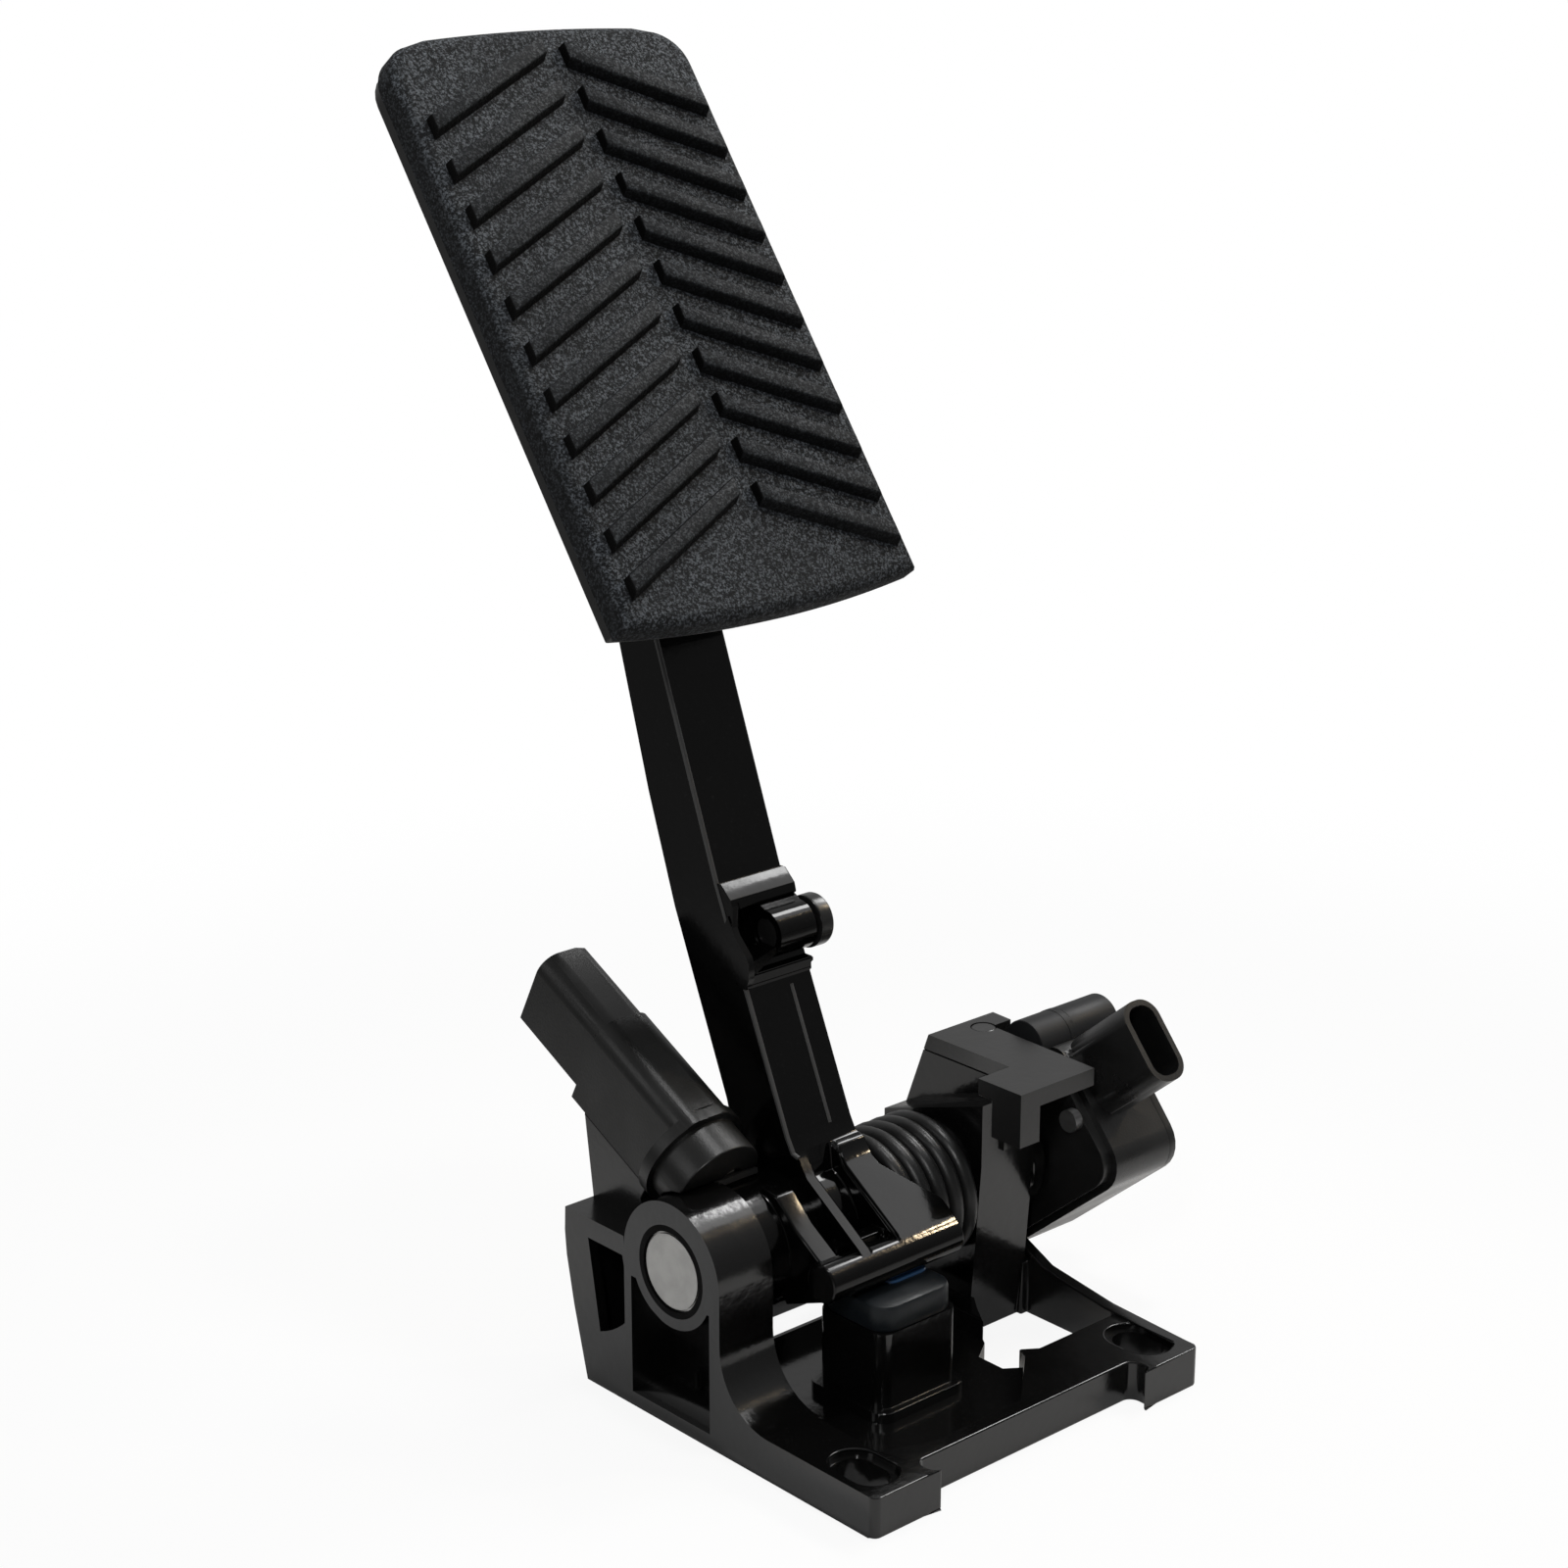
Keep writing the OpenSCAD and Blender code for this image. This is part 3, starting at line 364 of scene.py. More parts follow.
def finish(name):
    """A finish by its slot name, made once."""
    if name not in FINISHES:
        tone = colours()
        recipes = {
            "cast_black": (gloss_coat, dict(colour=tone.casting, rough=0.15)),
            "arm_black": (gloss_coat, dict(colour=rgb(3), rough=0.1, orange_peel=0.06, shine=0.24)),
            "clamp_black": (gloss_coat, dict(colour=rgb(22), rough=0.36)),
            # painted highlight: a lighter coat for the arm's raised lines, standing in for the light along
            # the edge
            "worn_edge": (gloss_coat, dict(colour=rgb(58), rough=0.4)),
            "plate_black": (smooth_rubber, dict(colour=rgb(24), rough=0.4)),
            "black_steel": (gloss_coat, dict(colour=rgb(26), rough=0.3)),
            "bush": (smooth_rubber, dict(colour=rgb(2), rough=0.7, shine=0.1)),
            "steel": (bare_steel, dict(colour=tone.steel, turned=PIVOT)),
            "spring_steel": (bare_steel, dict(colour=rgb(170))),
            "screw_zinc": (bare_steel, dict(colour=rgb(150))),
            "magnet": (bare_steel, dict(colour=rgb(110))),
            # sides is painted shade: the rim's and the ribs' faces that turn away from the pad's face are
            # darkened
            "tread_rubber": (tread_rubber, dict(colour=tone.tread, speck=tone.speck, sides=rgb(18),
                                                face_share_on_shaded_sides=0.4)),
            "rib_rubber": (tread_rubber, dict(colour=rgb(30, RUBBER_TINT), speck=rgb(72, RUBBER_TINT),
                                              sides=tone.rib)),
            "coated_spring": (moulded_plastic, dict(colour=tone.spring, rough=0.36, grain=0.16, shine=0.36)),
            "bumper_rubber": (smooth_rubber, dict(colour=tone.bumper, rough=0.34, shine=0.3)),
            "blue_plastic": (moulded_plastic, dict(colour=tone.blue, rough=0.2)),
            "switch_plastic": (moulded_plastic, dict(colour=tone.connector, rough=0.4, grain=0.14,
                                                     shine=0.36)),
            "sensor_plastic": (moulded_plastic, dict(colour=tone.sensor, rough=0.3)),
            "grey_plastic": (moulded_plastic, dict(colour=tone.grey_plug, rough=0.46, shine=0.2)),
            "pale_plastic": (moulded_plastic, dict(colour=rgb(205, (1, 0.97, 0.88)), rough=0.4)),
            "cream_silicone": (smooth_rubber, dict(colour=tone.cream, rough=0.5)),
            "seal_rubber": (smooth_rubber, dict(colour=rgb(18), rough=0.5)),
            "board": (plain_board, {}),
            "terminals": (bare_steel, dict(colour=rgb(190, (1.0, 0.8, 0.45)), rough=0.25)),
        }
        maker, settings = recipes[name]
        FINISHES[name] = maker(name, **settings)
    return FINISHES[name]


# ---------------------------------------------------------------- pieces
def new_piece(name, mesh, slot, node=None, body=None, look=None, rides=True):
    """Links a finished mesh as a piece of the pedal, in place of node where it has one."""
    piece = bpy.data.objects.new(name, mesh)
    bpy.context.scene.collection.objects.link(piece)
    mesh.materials.clear()
    mesh.materials.append(finish(look or slot))
    if rides:
        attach(piece, body or frame["nodes"][node]["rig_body"])
    if node:
        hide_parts(node)
    return piece


def solid_mesh(name, build):
    """A mesh from a function that fills a bmesh, with its normals facing out."""
    shape = bmesh.new()
    build(shape)
    bmesh.ops.remove_doubles(shape, verts=shape.verts, dist=MERGE)
    bmesh.ops.recalc_face_normals(shape, faces=shape.faces)
    mesh = bpy.data.meshes.new(name)
    shape.to_mesh(mesh)
    shape.free()
    return mesh


def apply_modifiers(piece):
    """Turns a piece and its modifiers into a plain mesh."""
    graph = bpy.context.evaluated_depsgraph_get()
    mesh = bpy.data.meshes.new_from_object(piece.evaluated_get(graph), preserve_all_data_layers=True,
                                           depsgraph=graph)
    name = piece.data.name
    bpy.data.objects.remove(piece)
    mesh.name = name
    return mesh


def skin(mesh):
    """A mesh's surface, for distances to it."""
    mesh.calc_loop_triangles()
    return BVHTree.FromPolygons([vertex.co for vertex in mesh.vertices],
                                [corner.vertices for corner in mesh.loop_triangles], all_triangles=True)


def bevelled(source, name, width):
    """A copy of a weighted mesh with its marked edges bevelled."""
    mesh = bpy.data.meshes.new(name)
    source.to_mesh(mesh)
    piece = bpy.data.objects.new(name, mesh)
    bpy.context.scene.collection.objects.link(piece)
    bevel = piece.modifiers.new("Edges", "BEVEL")
    bevel.width = width
    bevel.segments = ROUND_SEGMENTS
    bevel.limit_method = "WEIGHT"
    bevel.use_clamp_overlap = False
    return apply_modifiers(piece)


def torn_corners(mesh, solid, width, wide):
    """The points at which a bevelled mesh leaves the solid's surface; wide takes whole faces there."""
    for face in mesh.polygons:
        corners = [mesh.vertices[i].co for i in face.vertices]
        middles = [(one + two) / 2 for one, two in zip(corners, corners[1:] + corners[:1])]
        off = [corner for corner in corners if solid.find_nearest(corner)[3] > width]
        if off and not wide:
            yield from off
        elif off or max(solid.find_nearest(point)[3] for point in middles + [face.center]) > width:
            yield from corners


def rounded_copy(node, width):
    """A merged copy of a CAD node's mesh with its sharp edges rounded, less where that would tear it."""
    shape = bmesh.new()
    shape.from_mesh(frame["nodes"][node].data)
    bmesh.ops.remove_doubles(shape, verts=shape.verts, dist=CAD_MERGE)
    bmesh.ops.dissolve_limit(shape, angle_limit=math.radians(PLANAR_DEGREES),
                             use_dissolve_boundaries=False, verts=shape.verts, edges=shape.edges)
    weight = shape.edges.layers.float.new("bevel_weight_edge")
    for edge in shape.edges:
        edge[weight] = float(edge.calc_face_angle(0.0) > math.radians(SHARP_DEGREES))
    solid = skin(frame["nodes"][node].data)
    places = KDTree(len(shape.verts))
    shape.verts.ensure_lookup_table()
    for vertex in shape.verts:
        places.insert(vertex.co, vertex.index)
    places.balance()
    for attempt in range(ROUND_TRIES):
        mesh = bevelled(shape, node + "_rounded", width)
        wide = attempt >= CORNER_TRIES
        torn = {places.find(corner)[1] for corner in torn_corners(mesh, solid, width, wide)}
        if not torn:
            break
        for edge in {edge for index in torn for edge in shape.verts[index].link_edges}:
            edge[weight] = edge[weight] / 2 if edge[weight] > LEAST_WEIGHT else 0.0
    shape.free()
    smooth(mesh, SHARP_DEGREES)
    return flat_faces(mesh)


def flat_faces(mesh):
    """Keeps the large faces' own direction in the shading, so that only the rounds between them blend."""
    piece = bpy.data.objects.new(mesh.name, mesh)
    bpy.context.scene.collection.objects.link(piece)
    weighted = piece.modifiers.new("Shading", "WEIGHTED_NORMAL")
    weighted.keep_sharp = True
    weighted.weight = 100
    return apply_modifiers(piece)


def smooth(mesh, angle=35.0):
    """Smooth shading, with edges sharper than angle kept sharp."""
    mesh.shade_smooth()
    mesh.set_sharp_from_angle(angle=math.radians(angle))


def solid_piece(name, build, slot, angle=35.0, **place):
    """A smooth-shaded piece from a function that fills a bmesh; place is what new_piece needs besides."""
    mesh = solid_mesh(name, build)
    smooth(mesh, angle)
    return new_piece(name, mesh, slot, **place)


def from_graph(name, build, slot, host=None):
    """Runs a Geometry Nodes tree on a host mesh and returns the plain mesh that it makes.

    build gets the graph, the incoming geometry and a function that adds a named number to the tree's
    panel, and returns the geometry that the slot's finish then covers."""
    tree = bpy.data.node_groups.new(name, "GeometryNodeTree")
    tree.interface.new_socket(name="Geometry", in_out="OUTPUT", socket_type="NodeSocketGeometry")
    tree.interface.new_socket(name="Geometry", in_out="INPUT", socket_type="NodeSocketGeometry")
    graph = Graph(tree)
    entry = graph.node("NodeGroupInput")
    values = {}

    def named(label, value):
        """A named number on the tree's own panel."""
        kind = "NodeSocketInt" if isinstance(value, int) else "NodeSocketFloat"
        socket = tree.interface.new_socket(name=label, in_out="INPUT", socket_type=kind)
        values[socket.identifier] = value
        return Signal(graph, entry.outputs[label])

    result = build(graph, Signal(graph, entry.outputs["Geometry"]), named)
    solid = graph.add("GeometryNodeRealizeInstances", {}, {0: result})
    covered = graph.add("GeometryNodeSetMaterial", {}, {"Geometry": solid, "Material": finish(slot)})
    graph.node("NodeGroupOutput", {}, {"Geometry": covered})
    piece = bpy.data.objects.new(name, host or bpy.data.meshes.new(name))
    bpy.context.scene.collection.objects.link(piece)
    modifier = piece.modifiers.new(name, "NODES")
    modifier.node_group = tree
    for identifier, value in values.items():
        modifier[identifier] = value
    return apply_modifiers(piece)


def on_pad(point):
    """A point from the pad's own frame (across, up along it, out of it) to the pedal's, in metres."""
    lean = sizes().pad_lean
    foot = Vector((-9.5, 28.9, 186.4)) * MM  # the middle of the pad's lower edge, on its face
    along = Vector((0, math.sin(lean), math.cos(lean)))
    out = Vector((0, -math.cos(lean), math.sin(lean)))
    return foot + Vector((1, 0, 0)) * point[0] + along * point[1] + out * point[2]


def rounded_bar(shape, low, high, edge):
    """Adds a box between two corners in millimetres, with its edges rounded."""
    corners = []
    for x in (low[0], high[0]):
        for y in (low[1], high[1]):
            for z in (low[2], high[2]):
                corners.append(shape.verts.new(Vector((x, y, z)) * MM))
    sides = [shape.faces.new([corners[i] for i in face]) for face in
             ((0, 1, 3, 2), (4, 6, 7, 5), (0, 4, 5, 1), (2, 3, 7, 6), (0, 2, 6, 4), (1, 5, 7, 3))]
    lines = list(dict.fromkeys(line for side in sides for line in side.edges))  # each once, in order
    bmesh.ops.bevel(shape, geom=lines, offset=edge * MM, segments=2, affect="EDGES")


def close_rings(shape, rings):
    """Joins rings of points into a closed skin with flat ends."""
    count = len(rings[0])
    for low, high in zip(rings, rings[1:]):
        for i in range(count):
            shape.faces.new((low[i], low[(i + 1) % count], high[(i + 1) % count], high[i]))
    shape.faces.new(list(reversed(rings[0])))
    shape.faces.new(rings[-1])


def stacked_outline(shape, centre, half, corner, profile):
    """Stacks a rounded rectangle along Z, in millimetres.

    Each profile row is a height and how far the outline stands in there. A negative number is the
    radius of a round stem instead."""
    rings = []
    for height, inset in profile:
        wide, deep = (max(side - inset, 0.5) if inset >= 0 else -inset for side in half)
        radius = min(max(corner - inset, 0.3) if inset >= 0 else -inset, wide, deep)
        ring = []
        for quarter, (right, rear) in enumerate(((1, 1), (-1, 1), (-1, -1), (1, -1))):
            for degrees in range(90 * quarter, 90 * quarter + 91, 15):
                angle = math.radians(degrees)
                ring.append(shape.verts.new(Vector((
                    centre[0] + right * (wide - radius) + radius * math.cos(angle),
                    centre[1] + rear * (deep - radius) + radius * math.sin(angle), height)) * MM))
        rings.append(ring)
    close_rings(shape, rings)


# ---------------------------------------------------------------- forms
def raised_line(shape, across_arm, edge):
    """A raised line up the arm's front face, at its place across the arm and its points in (Y, Z)."""
    section = ((-0.25, -0.5), (0.75, -0.5), (0.75, 0.12), (0.5, 0.28), (0.0, 0.28), (-0.25, 0.12))
    rings = []
    for place, (y, z) in enumerate(edge):
        before, after = edge[max(place - 1, 0)], edge[min(place + 1, len(edge) - 1)]
        along = Vector((0, after[0] - before[0], after[1] - before[1])).normalized()
        out = Vector((0, -along.z, along.y))
        centre = Vector((across_arm, y, z))
        rings.append([shape.verts.new((centre + Vector((across, 0, 0)) + out * up) * MM)
                      for across, up in section])
    close_rings(shape, rings)


def parting_lines(shape):
    """The raised lines along the arm's front: one all the way up its left edge, one short on the right.
    Their lighter finish is a painted highlight along the edge.
    """
    left_edge = ((11.6, 59.2), (13.4, 59.6), (15.4, 63), (28.8, 93.5), (39.6, 118), (59.4, 170), (66.4, 188))
    raised_line(shape, -19.55, left_edge)
    raised_line(shape, -6.4, left_edge[2:4])


def catch_ledge(shape):
    """The ledge of two ridges under the catch pin, with its cheek and the gusset up to the pin's boss."""
    rounded_bar(shape, (-19.8, 28.3, 97.4), (0.6, 34, 98.8), 0.35)
    rounded_bar(shape, (-19.8, 28.9, 95.2), (0.6, 33, 96.4), 0.35)
    rounded_bar(shape, (-19.8, 29.1, 95.6), (0.6, 33, 98.6), 0.2)
    gusset = ((-19.2, 28.6, 98.4), (-17.6, 28.6, 98.4), (-10.5, 28.6, 102.4), (-12.0, 27.6, 104.2),
              (-19.2, 28.6, 101.6))
    close_rings(shape, [[shape.verts.new(Vector((x, y + back, z)) * MM) for x, y, z in gusset]
                        for back in (0.0, 5.0)])
    cheek = ((35.4, 111.5), (33.0, 107.2), (28.9, 103.2), (28.0, 101.4), (28.2, 97.6), (29.2, 95.2),
             (31.5, 95.2), (37.0, 108.0))
    close_rings(shape, [[shape.verts.new(Vector((x, y, z)) * MM) for y, z in cheek]
                        for x in (-19.85, -18.1)])


def window_lip(shape):
    """The lip along the far edge of the base's window."""
    rounded_bar(shape, (-42, 20.9, 4), (27, 23.1, 9.2), 0.6)


def bumper_block(shape):
    """The square rubber block on its round stem."""
    profile = ((18.5, -6.0), (26.0, -6.0), (26.0, 0.3), (26.4, 0.0), (31.3, 0.0), (32.1, 0.35), (32.5, 1.2))
    stacked_outline(shape, centre=(-9.5, -8.0), half=(11.7, 10.7), corner=5.0, profile=profile)


def bumper_cap(shape):
    """The thin strip on the block, which the crank's bar rests on."""
    profile = ((31.9, 0.0), (32.7, 0.0), (32.98, 0.12), (33.1, 0.45))
    stacked_outline(shape, centre=(-4.8, -7.4), half=(6.3, 3.1), corner=2.4, profile=profile)


def hub_wiper(shape):
    """A curved strip that closes the gap between the switch's collar and the hub."""
    section = ((-37.0, 15.8), (-25.2, 15.8), (-25.2, 17.1), (-37.0, 17.1))
    rings = []
    for step in range(13):
        angle = math.radians(56 + 2.5 * step)
        rings.append([shape.verts.new(PIVOT + Vector((x * MM - PIVOT.x, r * math.cos(angle) * MM,
                                                      r * math.sin(angle) * MM)))
                      for x, r in section])
    close_rings(shape, rings)


# ---------------------------------------------------------------- operators
class PieceOperator:
    """What the operators share."""
    bl_options = {"REGISTER", "UNDO"}


class PEDAL_OT_castings(PieceOperator, bpy.types.Operator):
    """Round the castings and the plates, and add the arm's raised lines, catch ledge and window lip"""
    bl_idname = "pedal.castings"
    bl_label = "Castings"

    def execute(self, context):
        for node, slot, width in (("base", "cast_black", 0.5), ("pedal_arm", "arm_black", 0.55),
                                  ("clamp_plate", "clamp_black", 0.45), ("pad_plate", "plate_black", 0.5)):
            new_piece(node + "_cast", rounded_copy(node, width * MM), slot, node)
        on_arm = frame["nodes"]["pedal_arm"]["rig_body"]
        on_base = frame["nodes"]["base"]["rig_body"]
        # the raised lines take a lighter coat as a painted highlight along the arm's edge
        solid_piece("arm_parting_line", parting_lines, "arm_black", body=on_arm, look="worn_edge")
        solid_piece("catch_ledge", catch_ledge, "arm_black", body=on_arm)
        solid_piece("window_lip", window_lip, "cast_black", body=on_base)
        return {"FINISHED"}


class PEDAL_OT_tread(PieceOperator, bpy.types.Operator):
    """Mould the foot pad's rubber tread and lay its chevron ribs"""
    bl_idname = "pedal.tread"
    bl_label = "Tread"

    def outline(self, inset):
        """The pad's outline: a foot that bows down, straight sides, round top corners and a low crest."""
        size = sizes()
        half = size.pad_width / 2 - inset
        corner = 10 * MM - inset
        bow = 3 * MM
        rise = 2 * MM
        radius = (half * half + rise * rise) / (2 * rise)
        top = size.pad_height - inset
        foot_steps, arc_steps, crest_steps = 24, 10, 20
        arc_degrees = 82  # where the corner's arc meets the crest
        points = [(-half + 2 * half * i / foot_steps, inset - bow * (1 - (2 * i / foot_steps - 1) ** 2))
                  for i in range(foot_steps + 1)]
        for side in (1, -1):
            arc = [(side * (half - corner + corner * math.cos(a)), top - corner + corner * math.sin(a))
                   for a in (math.radians(arc_degrees * i / arc_steps) for i in range(arc_steps + 1))]
            crest = [(x, top + math.sqrt(radius * radius - x * x) - radius + rise)
                     for x in ((half - corner) * (1 - 2 * i / crest_steps) for i in range(1, crest_steps))]
            points += arc + crest if side == 1 else arc[::-1]
        return points

    def slab(self, shape):
        """The rubber under the ribs, whose rim rounds over to the pad's face."""
        size = sizes()
        rim = ((0.0, 0.4), (0.4, 0.0), (4.6, 0.0), (5.7, 0.45), (6.5, 1.3), (6.9, 2.3), (7.0, 3.4))
        close_rings(shape, [[shape.verts.new(on_pad((x, y, height * MM - size.tread)))
                             for x, y in self.outline(inset * MM)] for height, inset in rim])

    def execute(self, context):
        solid_piece("pad_tread_rubber", self.slab, "tread_rubber", 40, node="pad_tread")
        for side, name in ((-1, "tread_ribs_left"), (1, "tread_ribs_right")):
            new_piece(name, self.ribs(side), "tread_rubber", "pad_tread", look="rib_rubber")
        return {"FINISHED"}

    def ribs(self, side):
        """One half of the chevrons: a crisp bar, repeated up the pad by Geometry Nodes."""
        size = sizes()
        slope = math.radians(24.6)
        start = (0.6 if side < 0 else 5) * MM
        reach = size.pad_width / 2 - 4 * MM
        foot = 9 * MM + reach * math.tan(slope)
        half = size.rib_width / 2 / math.cos(slope)
        draft = 1.2 * MM
        unribbed = 31 * MM  # what the first and the last rib leave of the pad's height

        def bar(shape):
            rings = []
            for height, inset in ((-0.12, 0.0), (0.8, 0.05), (0.93, 0.12), (1.0, 0.3)):
                low, high = start + inset * MM, reach - inset * MM
                wide = half - inset * MM
                drop = wide + draft * (1 - height)
                rings.append([shape.verts.new((side * x, foot + y - x * math.tan(slope),
                                               size.rib_height * height))
                              for x, y in ((low, wide), (high, wide), (high, -drop), (low, -drop))])
            close_rings(shape, rings)

        def rows(graph, bars, named):
            count = named("Ribs", size.rib_count)
            pitch = named("Pitch", (size.pad_height - unribbed) / (size.rib_count - 1))
            step = graph.add("ShaderNodeCombineXYZ", {}, {1: pitch})
            points = graph.add("GeometryNodeMeshLine", {}, {"Count": count, "Offset": step})
            return graph.add("GeometryNodeInstanceOnPoints", {}, {"Points": points, "Instance": bars})

        mesh = from_graph("tread_ribs", rows, "rib_rubber", solid_mesh("rib_bar", bar))
        for vertex in mesh.vertices:
            vertex.co = on_pad(vertex.co)
        smooth(mesh, 50)
        return mesh


class PEDAL_OT_spring(PieceOperator, bpy.types.Operator):
    """Wind the return spring with its tang and rear leg"""
    bl_idname = "pedal.spring"
    bl_label = "Return spring"

    def execute(self, context):
        size = sizes()
        start = Vector((5.85, 17.0, 37.5)) * MM
        per_turn = 48
        end_share = 0.25  # the tang and the rear leg each take this share of a turn's points

        def wire(graph, _, named):
            turns = named("Coils", size.coil_turns)
            pitch = named("Pitch", size.coil_pitch)
            radius = named("Coil radius", size.coil / 2)
            thick = named("Wire radius", size.wire / 2)
            leg = named("Leg", 0.018)
            tang = named("Tang", 0.0085)
            bend = named("Tang bend", 0.003)
            count = int(per_turn * (size.coil_turns + 2 * end_share)) + 1
            line = graph.add("GeometryNodeMeshLine", {}, {"Count": count})
            step = graph.add("GeometryNodeInputIndex") * (1.0 / per_turn) - end_share
            turn = step.most(0.0).least(turns)
            angle = turn * math.tau
            before = (step * (-1 / end_share)).most(0.0)
            corner = (before * 2.0).least(1.0) * (math.pi / 2)
            after = ((step - turns) * (1 / end_share)).most(0.0)
            x = (start.x + pitch * turn - bend * corner.sine()
                 - (before * 2.0 - 1.0).most(0.0) * (tang - bend))
            y = start.y - radius * angle.sine() + bend * (1.0 - corner.cosine()) + after * leg
            z = start.z + radius * angle.cosine()
            place = graph.add("ShaderNodeCombineXYZ", {}, {0: x, 1: y, 2: z})
            moved = graph.add("GeometryNodeSetPosition", {}, {"Geometry": line, "Position": place})
            curve = graph.add("GeometryNodeMeshToCurve", {}, {0: moved})
            section = graph.add("GeometryNodeCurvePrimitiveCircle", {}, {"Resolution": 20, "Radius": thick})
            return graph.add("GeometryNodeCurveToMesh", {},
                             {"Curve": curve, "Profile Curve": section, "Fill Caps": True})

        mesh = from_graph("return_spring_wire", wire, "coated_spring")
        smooth(mesh, 50)
        piece = new_piece("return_spring_wire", mesh, "coated_spring", "return_spring", rides=False)
        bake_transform(piece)
        return {"FINISHED"}


class PEDAL_OT_units(PieceOperator, bpy.types.Operator):
    """Round the switch, the sensor with its plug, the catch pin and the clamp screw"""
    bl_idname = "pedal.units"
    bl_label = "Switch and sensor"

    def execute(self, context):
        for node, slot, width in (
                ("switch_housing", "switch_plastic", 0.5), ("sensor_housing", "sensor_plastic", 0.5),
                ("sensor_cover", "sensor_plastic", 0.5), ("grey_plug", "grey_plastic", 0.25),
                ("plug_seal", "cream_silicone", 0.3), ("catch_pin", "black_steel", 0.5),
                ("clamp_screw", "black_steel", 0.3)):
            new_piece(node + "_moulded", rounded_copy(node, width * MM), slot, node)
        return {"FINISHED"}


class PEDAL_OT_rest_stop(PieceOperator, bpy.types.Operator):
    """Mould the rubber rest stop with its blue cap, and the wiper between the switch and the hub"""
    bl_idname = "pedal.rest_stop"
    bl_label = "Rest stop"

    def execute(self, context):
        solid_piece("stop_bumper_block", bumper_block, "bumper_rubber", 40, node="stop_bumper")
        solid_piece("bumper_cap_strip", bumper_cap, "blue_plastic", 40, node="bumper_cap")
        on_base = frame["nodes"]["switch_housing"]["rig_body"]
        solid_piece("hub_wiper", hub_wiper, "seal_rubber", 40, body=on_base)
        return {"FINISHED"}


class PEDAL_OT_small_parts(PieceOperator, bpy.types.Operator):
    """Give the remaining CAD pieces their finishes"""
    bl_idname = "pedal.small_parts"
    bl_label = "Small parts"

    def execute(self, context):
        slots = {entry["node"]: entry["material_slot"] for entry in frame["record"]["subparts"]}
        for node, piece in frame["nodes"].items():
            piece.data.materials.clear()
            piece.data.materials.append(finish(slots[node]))
        return {"FINISHED"}


def backdrop_rays(graph):
    """How much of the white backdrop a ray meets: all from the camera, a share in gloss and glass."""
    path = graph.node("ShaderNodeLightPath")
    camera, gloss, glass = (Signal(graph, path.outputs[name])
                            for name in ("Is Camera Ray", "Is Glossy Ray", "Is Transmission Ray"))
    return (camera + (gloss + glass) * BACKDROP_IN_GLOSS).least(1.0)


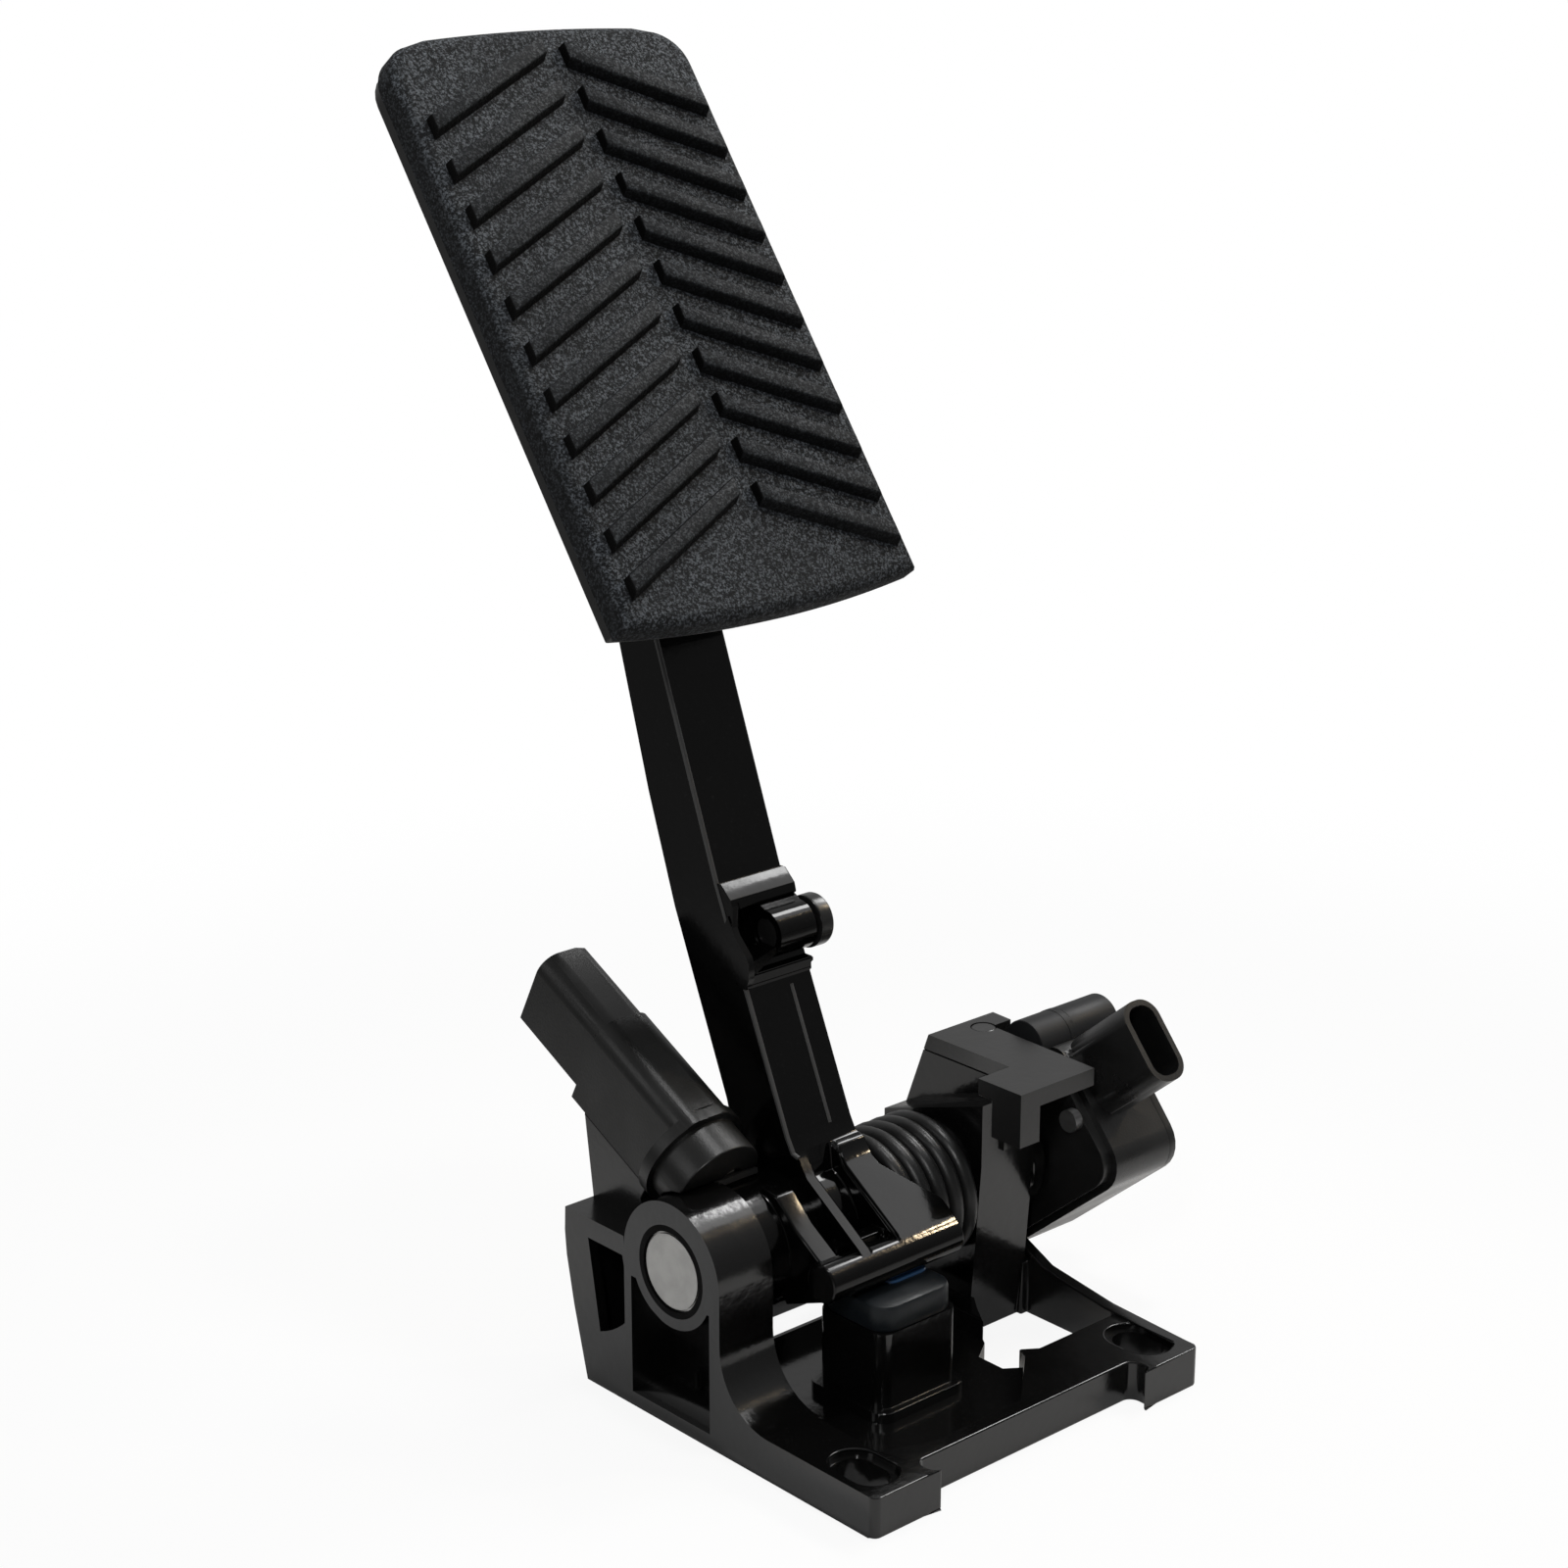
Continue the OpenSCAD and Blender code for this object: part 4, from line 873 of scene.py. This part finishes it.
class PEDAL_OT_studio(PieceOperator, bpy.types.Operator):
    """Set up the pale floor, the soft lights and the camera"""
    bl_idname = "pedal.studio"
    bl_label = "Studio"

    def lamp(self, name, place, size, power, colour=(1.0, 1.0, 1.0)):
        """A rectangular lamp that points at the middle of the pedal."""
        middle = Vector((0, 0.03, 0.14))
        data = bpy.data.lights.new(name, "AREA")
        data.shape = "RECTANGLE"
        data.size, data.size_y = size
        data.energy = power
        data.color = colour
        light = bpy.data.objects.new(name, data)
        bpy.context.scene.collection.objects.link(light)
        light.location = place
        light.rotation_euler = (middle - Vector(place)).to_track_quat("-Z", "Y").to_euler()

    def floor(self):
        """A white floor that keeps the pedal's shadow and fades to plain white further out."""
        def sheet(shape):
            shape.faces.new([shape.verts.new(c) for c in ((-4, -4, 0), (4, -4, 0), (4, 4, 0), (-4, 4, 0))])

        mesh = solid_mesh("studio_floor", sheet)
        dark, pale = (0.1, 0.1, 0.1, 1), (0.82, 0.82, 0.82, 1)
        piece = bpy.data.objects.new("studio_floor", mesh)
        bpy.context.scene.collection.objects.link(piece)
        material, graph, shader, place = paint("studio_floor")
        distance = graph.add("ShaderNodeVectorMath", {"operation": "LENGTH"}, {0: place}, out=1)
        graph.feed(shader.inputs["Base Color"], graph.mix(distance.ramp(0.12, 0.4), pale, dark))
        shader.inputs["Roughness"].default_value = 0.9
        shader.inputs["Specular IOR Level"].default_value = 0.0
        white = graph.add("ShaderNodeEmission", {}, {"Color": (1, 1, 1, 1), "Strength": 1.0})
        seen = backdrop_rays(graph)
        blend = graph.add("ShaderNodeMixShader", {}, {0: seen * distance.ramp(0.05, 0.5, 0.9, 1.0),
                                                      1: Signal(graph, shader.outputs[0]), 2: white})
        output = next(n for n in graph.tree.nodes if n.type == "OUTPUT_MATERIAL")
        graph.feed(output.inputs[0], blend)
        mesh.materials.append(material)

    def air(self, scene):
        """Plain white behind the object, and a soft light that is brighter from behind on the right."""
        world = bpy.data.worlds.new("studio_air")
        scene.world = world
        world.use_nodes = True
        world.node_tree.nodes.clear()
        graph = Graph(world.node_tree)
        bearing = graph.add("ShaderNodeTexCoord", out=0)
        behind = graph.add("ShaderNodeVectorMath", {"operation": "DOT_PRODUCT"},
                           {0: bearing, 1: (0.62, 0.66, 0.42)}, out=1)
        room = graph.add("ShaderNodeBackground", {},
                         {"Color": (1, 1, 1, 1), "Strength": behind.ramp(-0.2, 0.7, 0.08, 0.42)})
        backdrop = graph.add("ShaderNodeBackground", {}, {"Color": (1, 1, 1, 1), "Strength": 1.0})
        blend = graph.add("ShaderNodeMixShader", {}, {0: backdrop_rays(graph), 1: room, 2: backdrop})
        graph.node("ShaderNodeOutputWorld", {}, {0: blend})

    def camera(self, scene):
        """The photo's camera, as solved from the corners of the base, the pad and the pin."""
        data = bpy.data.cameras.new("photo_camera")
        data.sensor_fit = "HORIZONTAL"
        data.sensor_width = 36
        data.lens = 72.1
        data.clip_start = 0.01
        camera = bpy.data.objects.new("photo_camera", data)
        scene.collection.objects.link(camera)
        right = Vector((0.7430, -0.6693, 0.0))
        up = Vector((0.1996, 0.2216, 0.9545))
        back = right.cross(up)
        place = Vector((-463.3, -476.2, 354.8)) * MM
        turn = Matrix((right, up, back)).transposed().to_4x4()
        camera.matrix_world = Matrix.Translation(place) @ turn
        scene.camera = camera

    def execute(self, context):
        scene = context.scene
        scene.view_settings.view_transform = "Standard"
        self.air(scene)
        self.floor()
        self.lamp("key_strip", (-0.9, -0.7, 0.95), (0.08, 0.32), 5.5)
        self.lamp("right_softbox", (0.85, 0.12, 1.0), (0.3, 0.3), 4.5)
        self.lamp("top_softbox", (0.1, -0.1, 1.4), (0.16, 0.16), 5.5)
        self.lamp("left_softbox", (-1.2, 0.35, 0.7), (0.5, 0.5), 2)
        self.lamp("crank_softbox", (0.78, -0.1, 1.05), (0.45, 0.45), 1.45)
        self.lamp("warm_strip", (0.8, -0.34, 0.86), (0.03, 0.12), 1.6, (1.0, 0.79, 0.52))
        self.camera(scene)
        return {"FINISHED"}


class PEDAL_PT_panel(bpy.types.Panel):
    """Lists the pedal's pieces, sizes and colours"""
    bl_idname = "PEDAL_PT_panel"
    bl_label = "Accelerator Pedal"
    bl_space_type = "VIEW_3D"
    bl_region_type = "UI"
    bl_category = "Pedal"

    def draw(self, context):
        for step in STEPS:
            self.layout.operator(step.bl_idname)
        for group in (context.scene.pedal_sizes, context.scene.pedal_colours):
            for name in group.__annotations__:
                self.layout.prop(group, name)


STEPS = (PEDAL_OT_small_parts, PEDAL_OT_castings, PEDAL_OT_tread, PEDAL_OT_spring, PEDAL_OT_units,
         PEDAL_OT_rest_stop, PEDAL_OT_studio)
CLASSES = (PedalColours, PedalSizes) + STEPS + (PEDAL_PT_panel,)


def register():
    for cls in CLASSES:
        bpy.utils.register_class(cls)
    bpy.types.Scene.pedal_colours = bpy.props.PointerProperty(type=PedalColours)
    bpy.types.Scene.pedal_sizes = bpy.props.PointerProperty(type=PedalSizes)


def unregister():
    del bpy.types.Scene.pedal_sizes
    del bpy.types.Scene.pedal_colours
    for cls in reversed(CLASSES):
        bpy.utils.unregister_class(cls)


def main():
    register()
    for step in STEPS:
        area, name = step.bl_idname.split(".")
        result = getattr(getattr(bpy.ops, area), name)()
        if result != {"FINISHED"}:
            raise RuntimeError(step.bl_label + " was not finished")


if __name__ == "__main__":
    main()
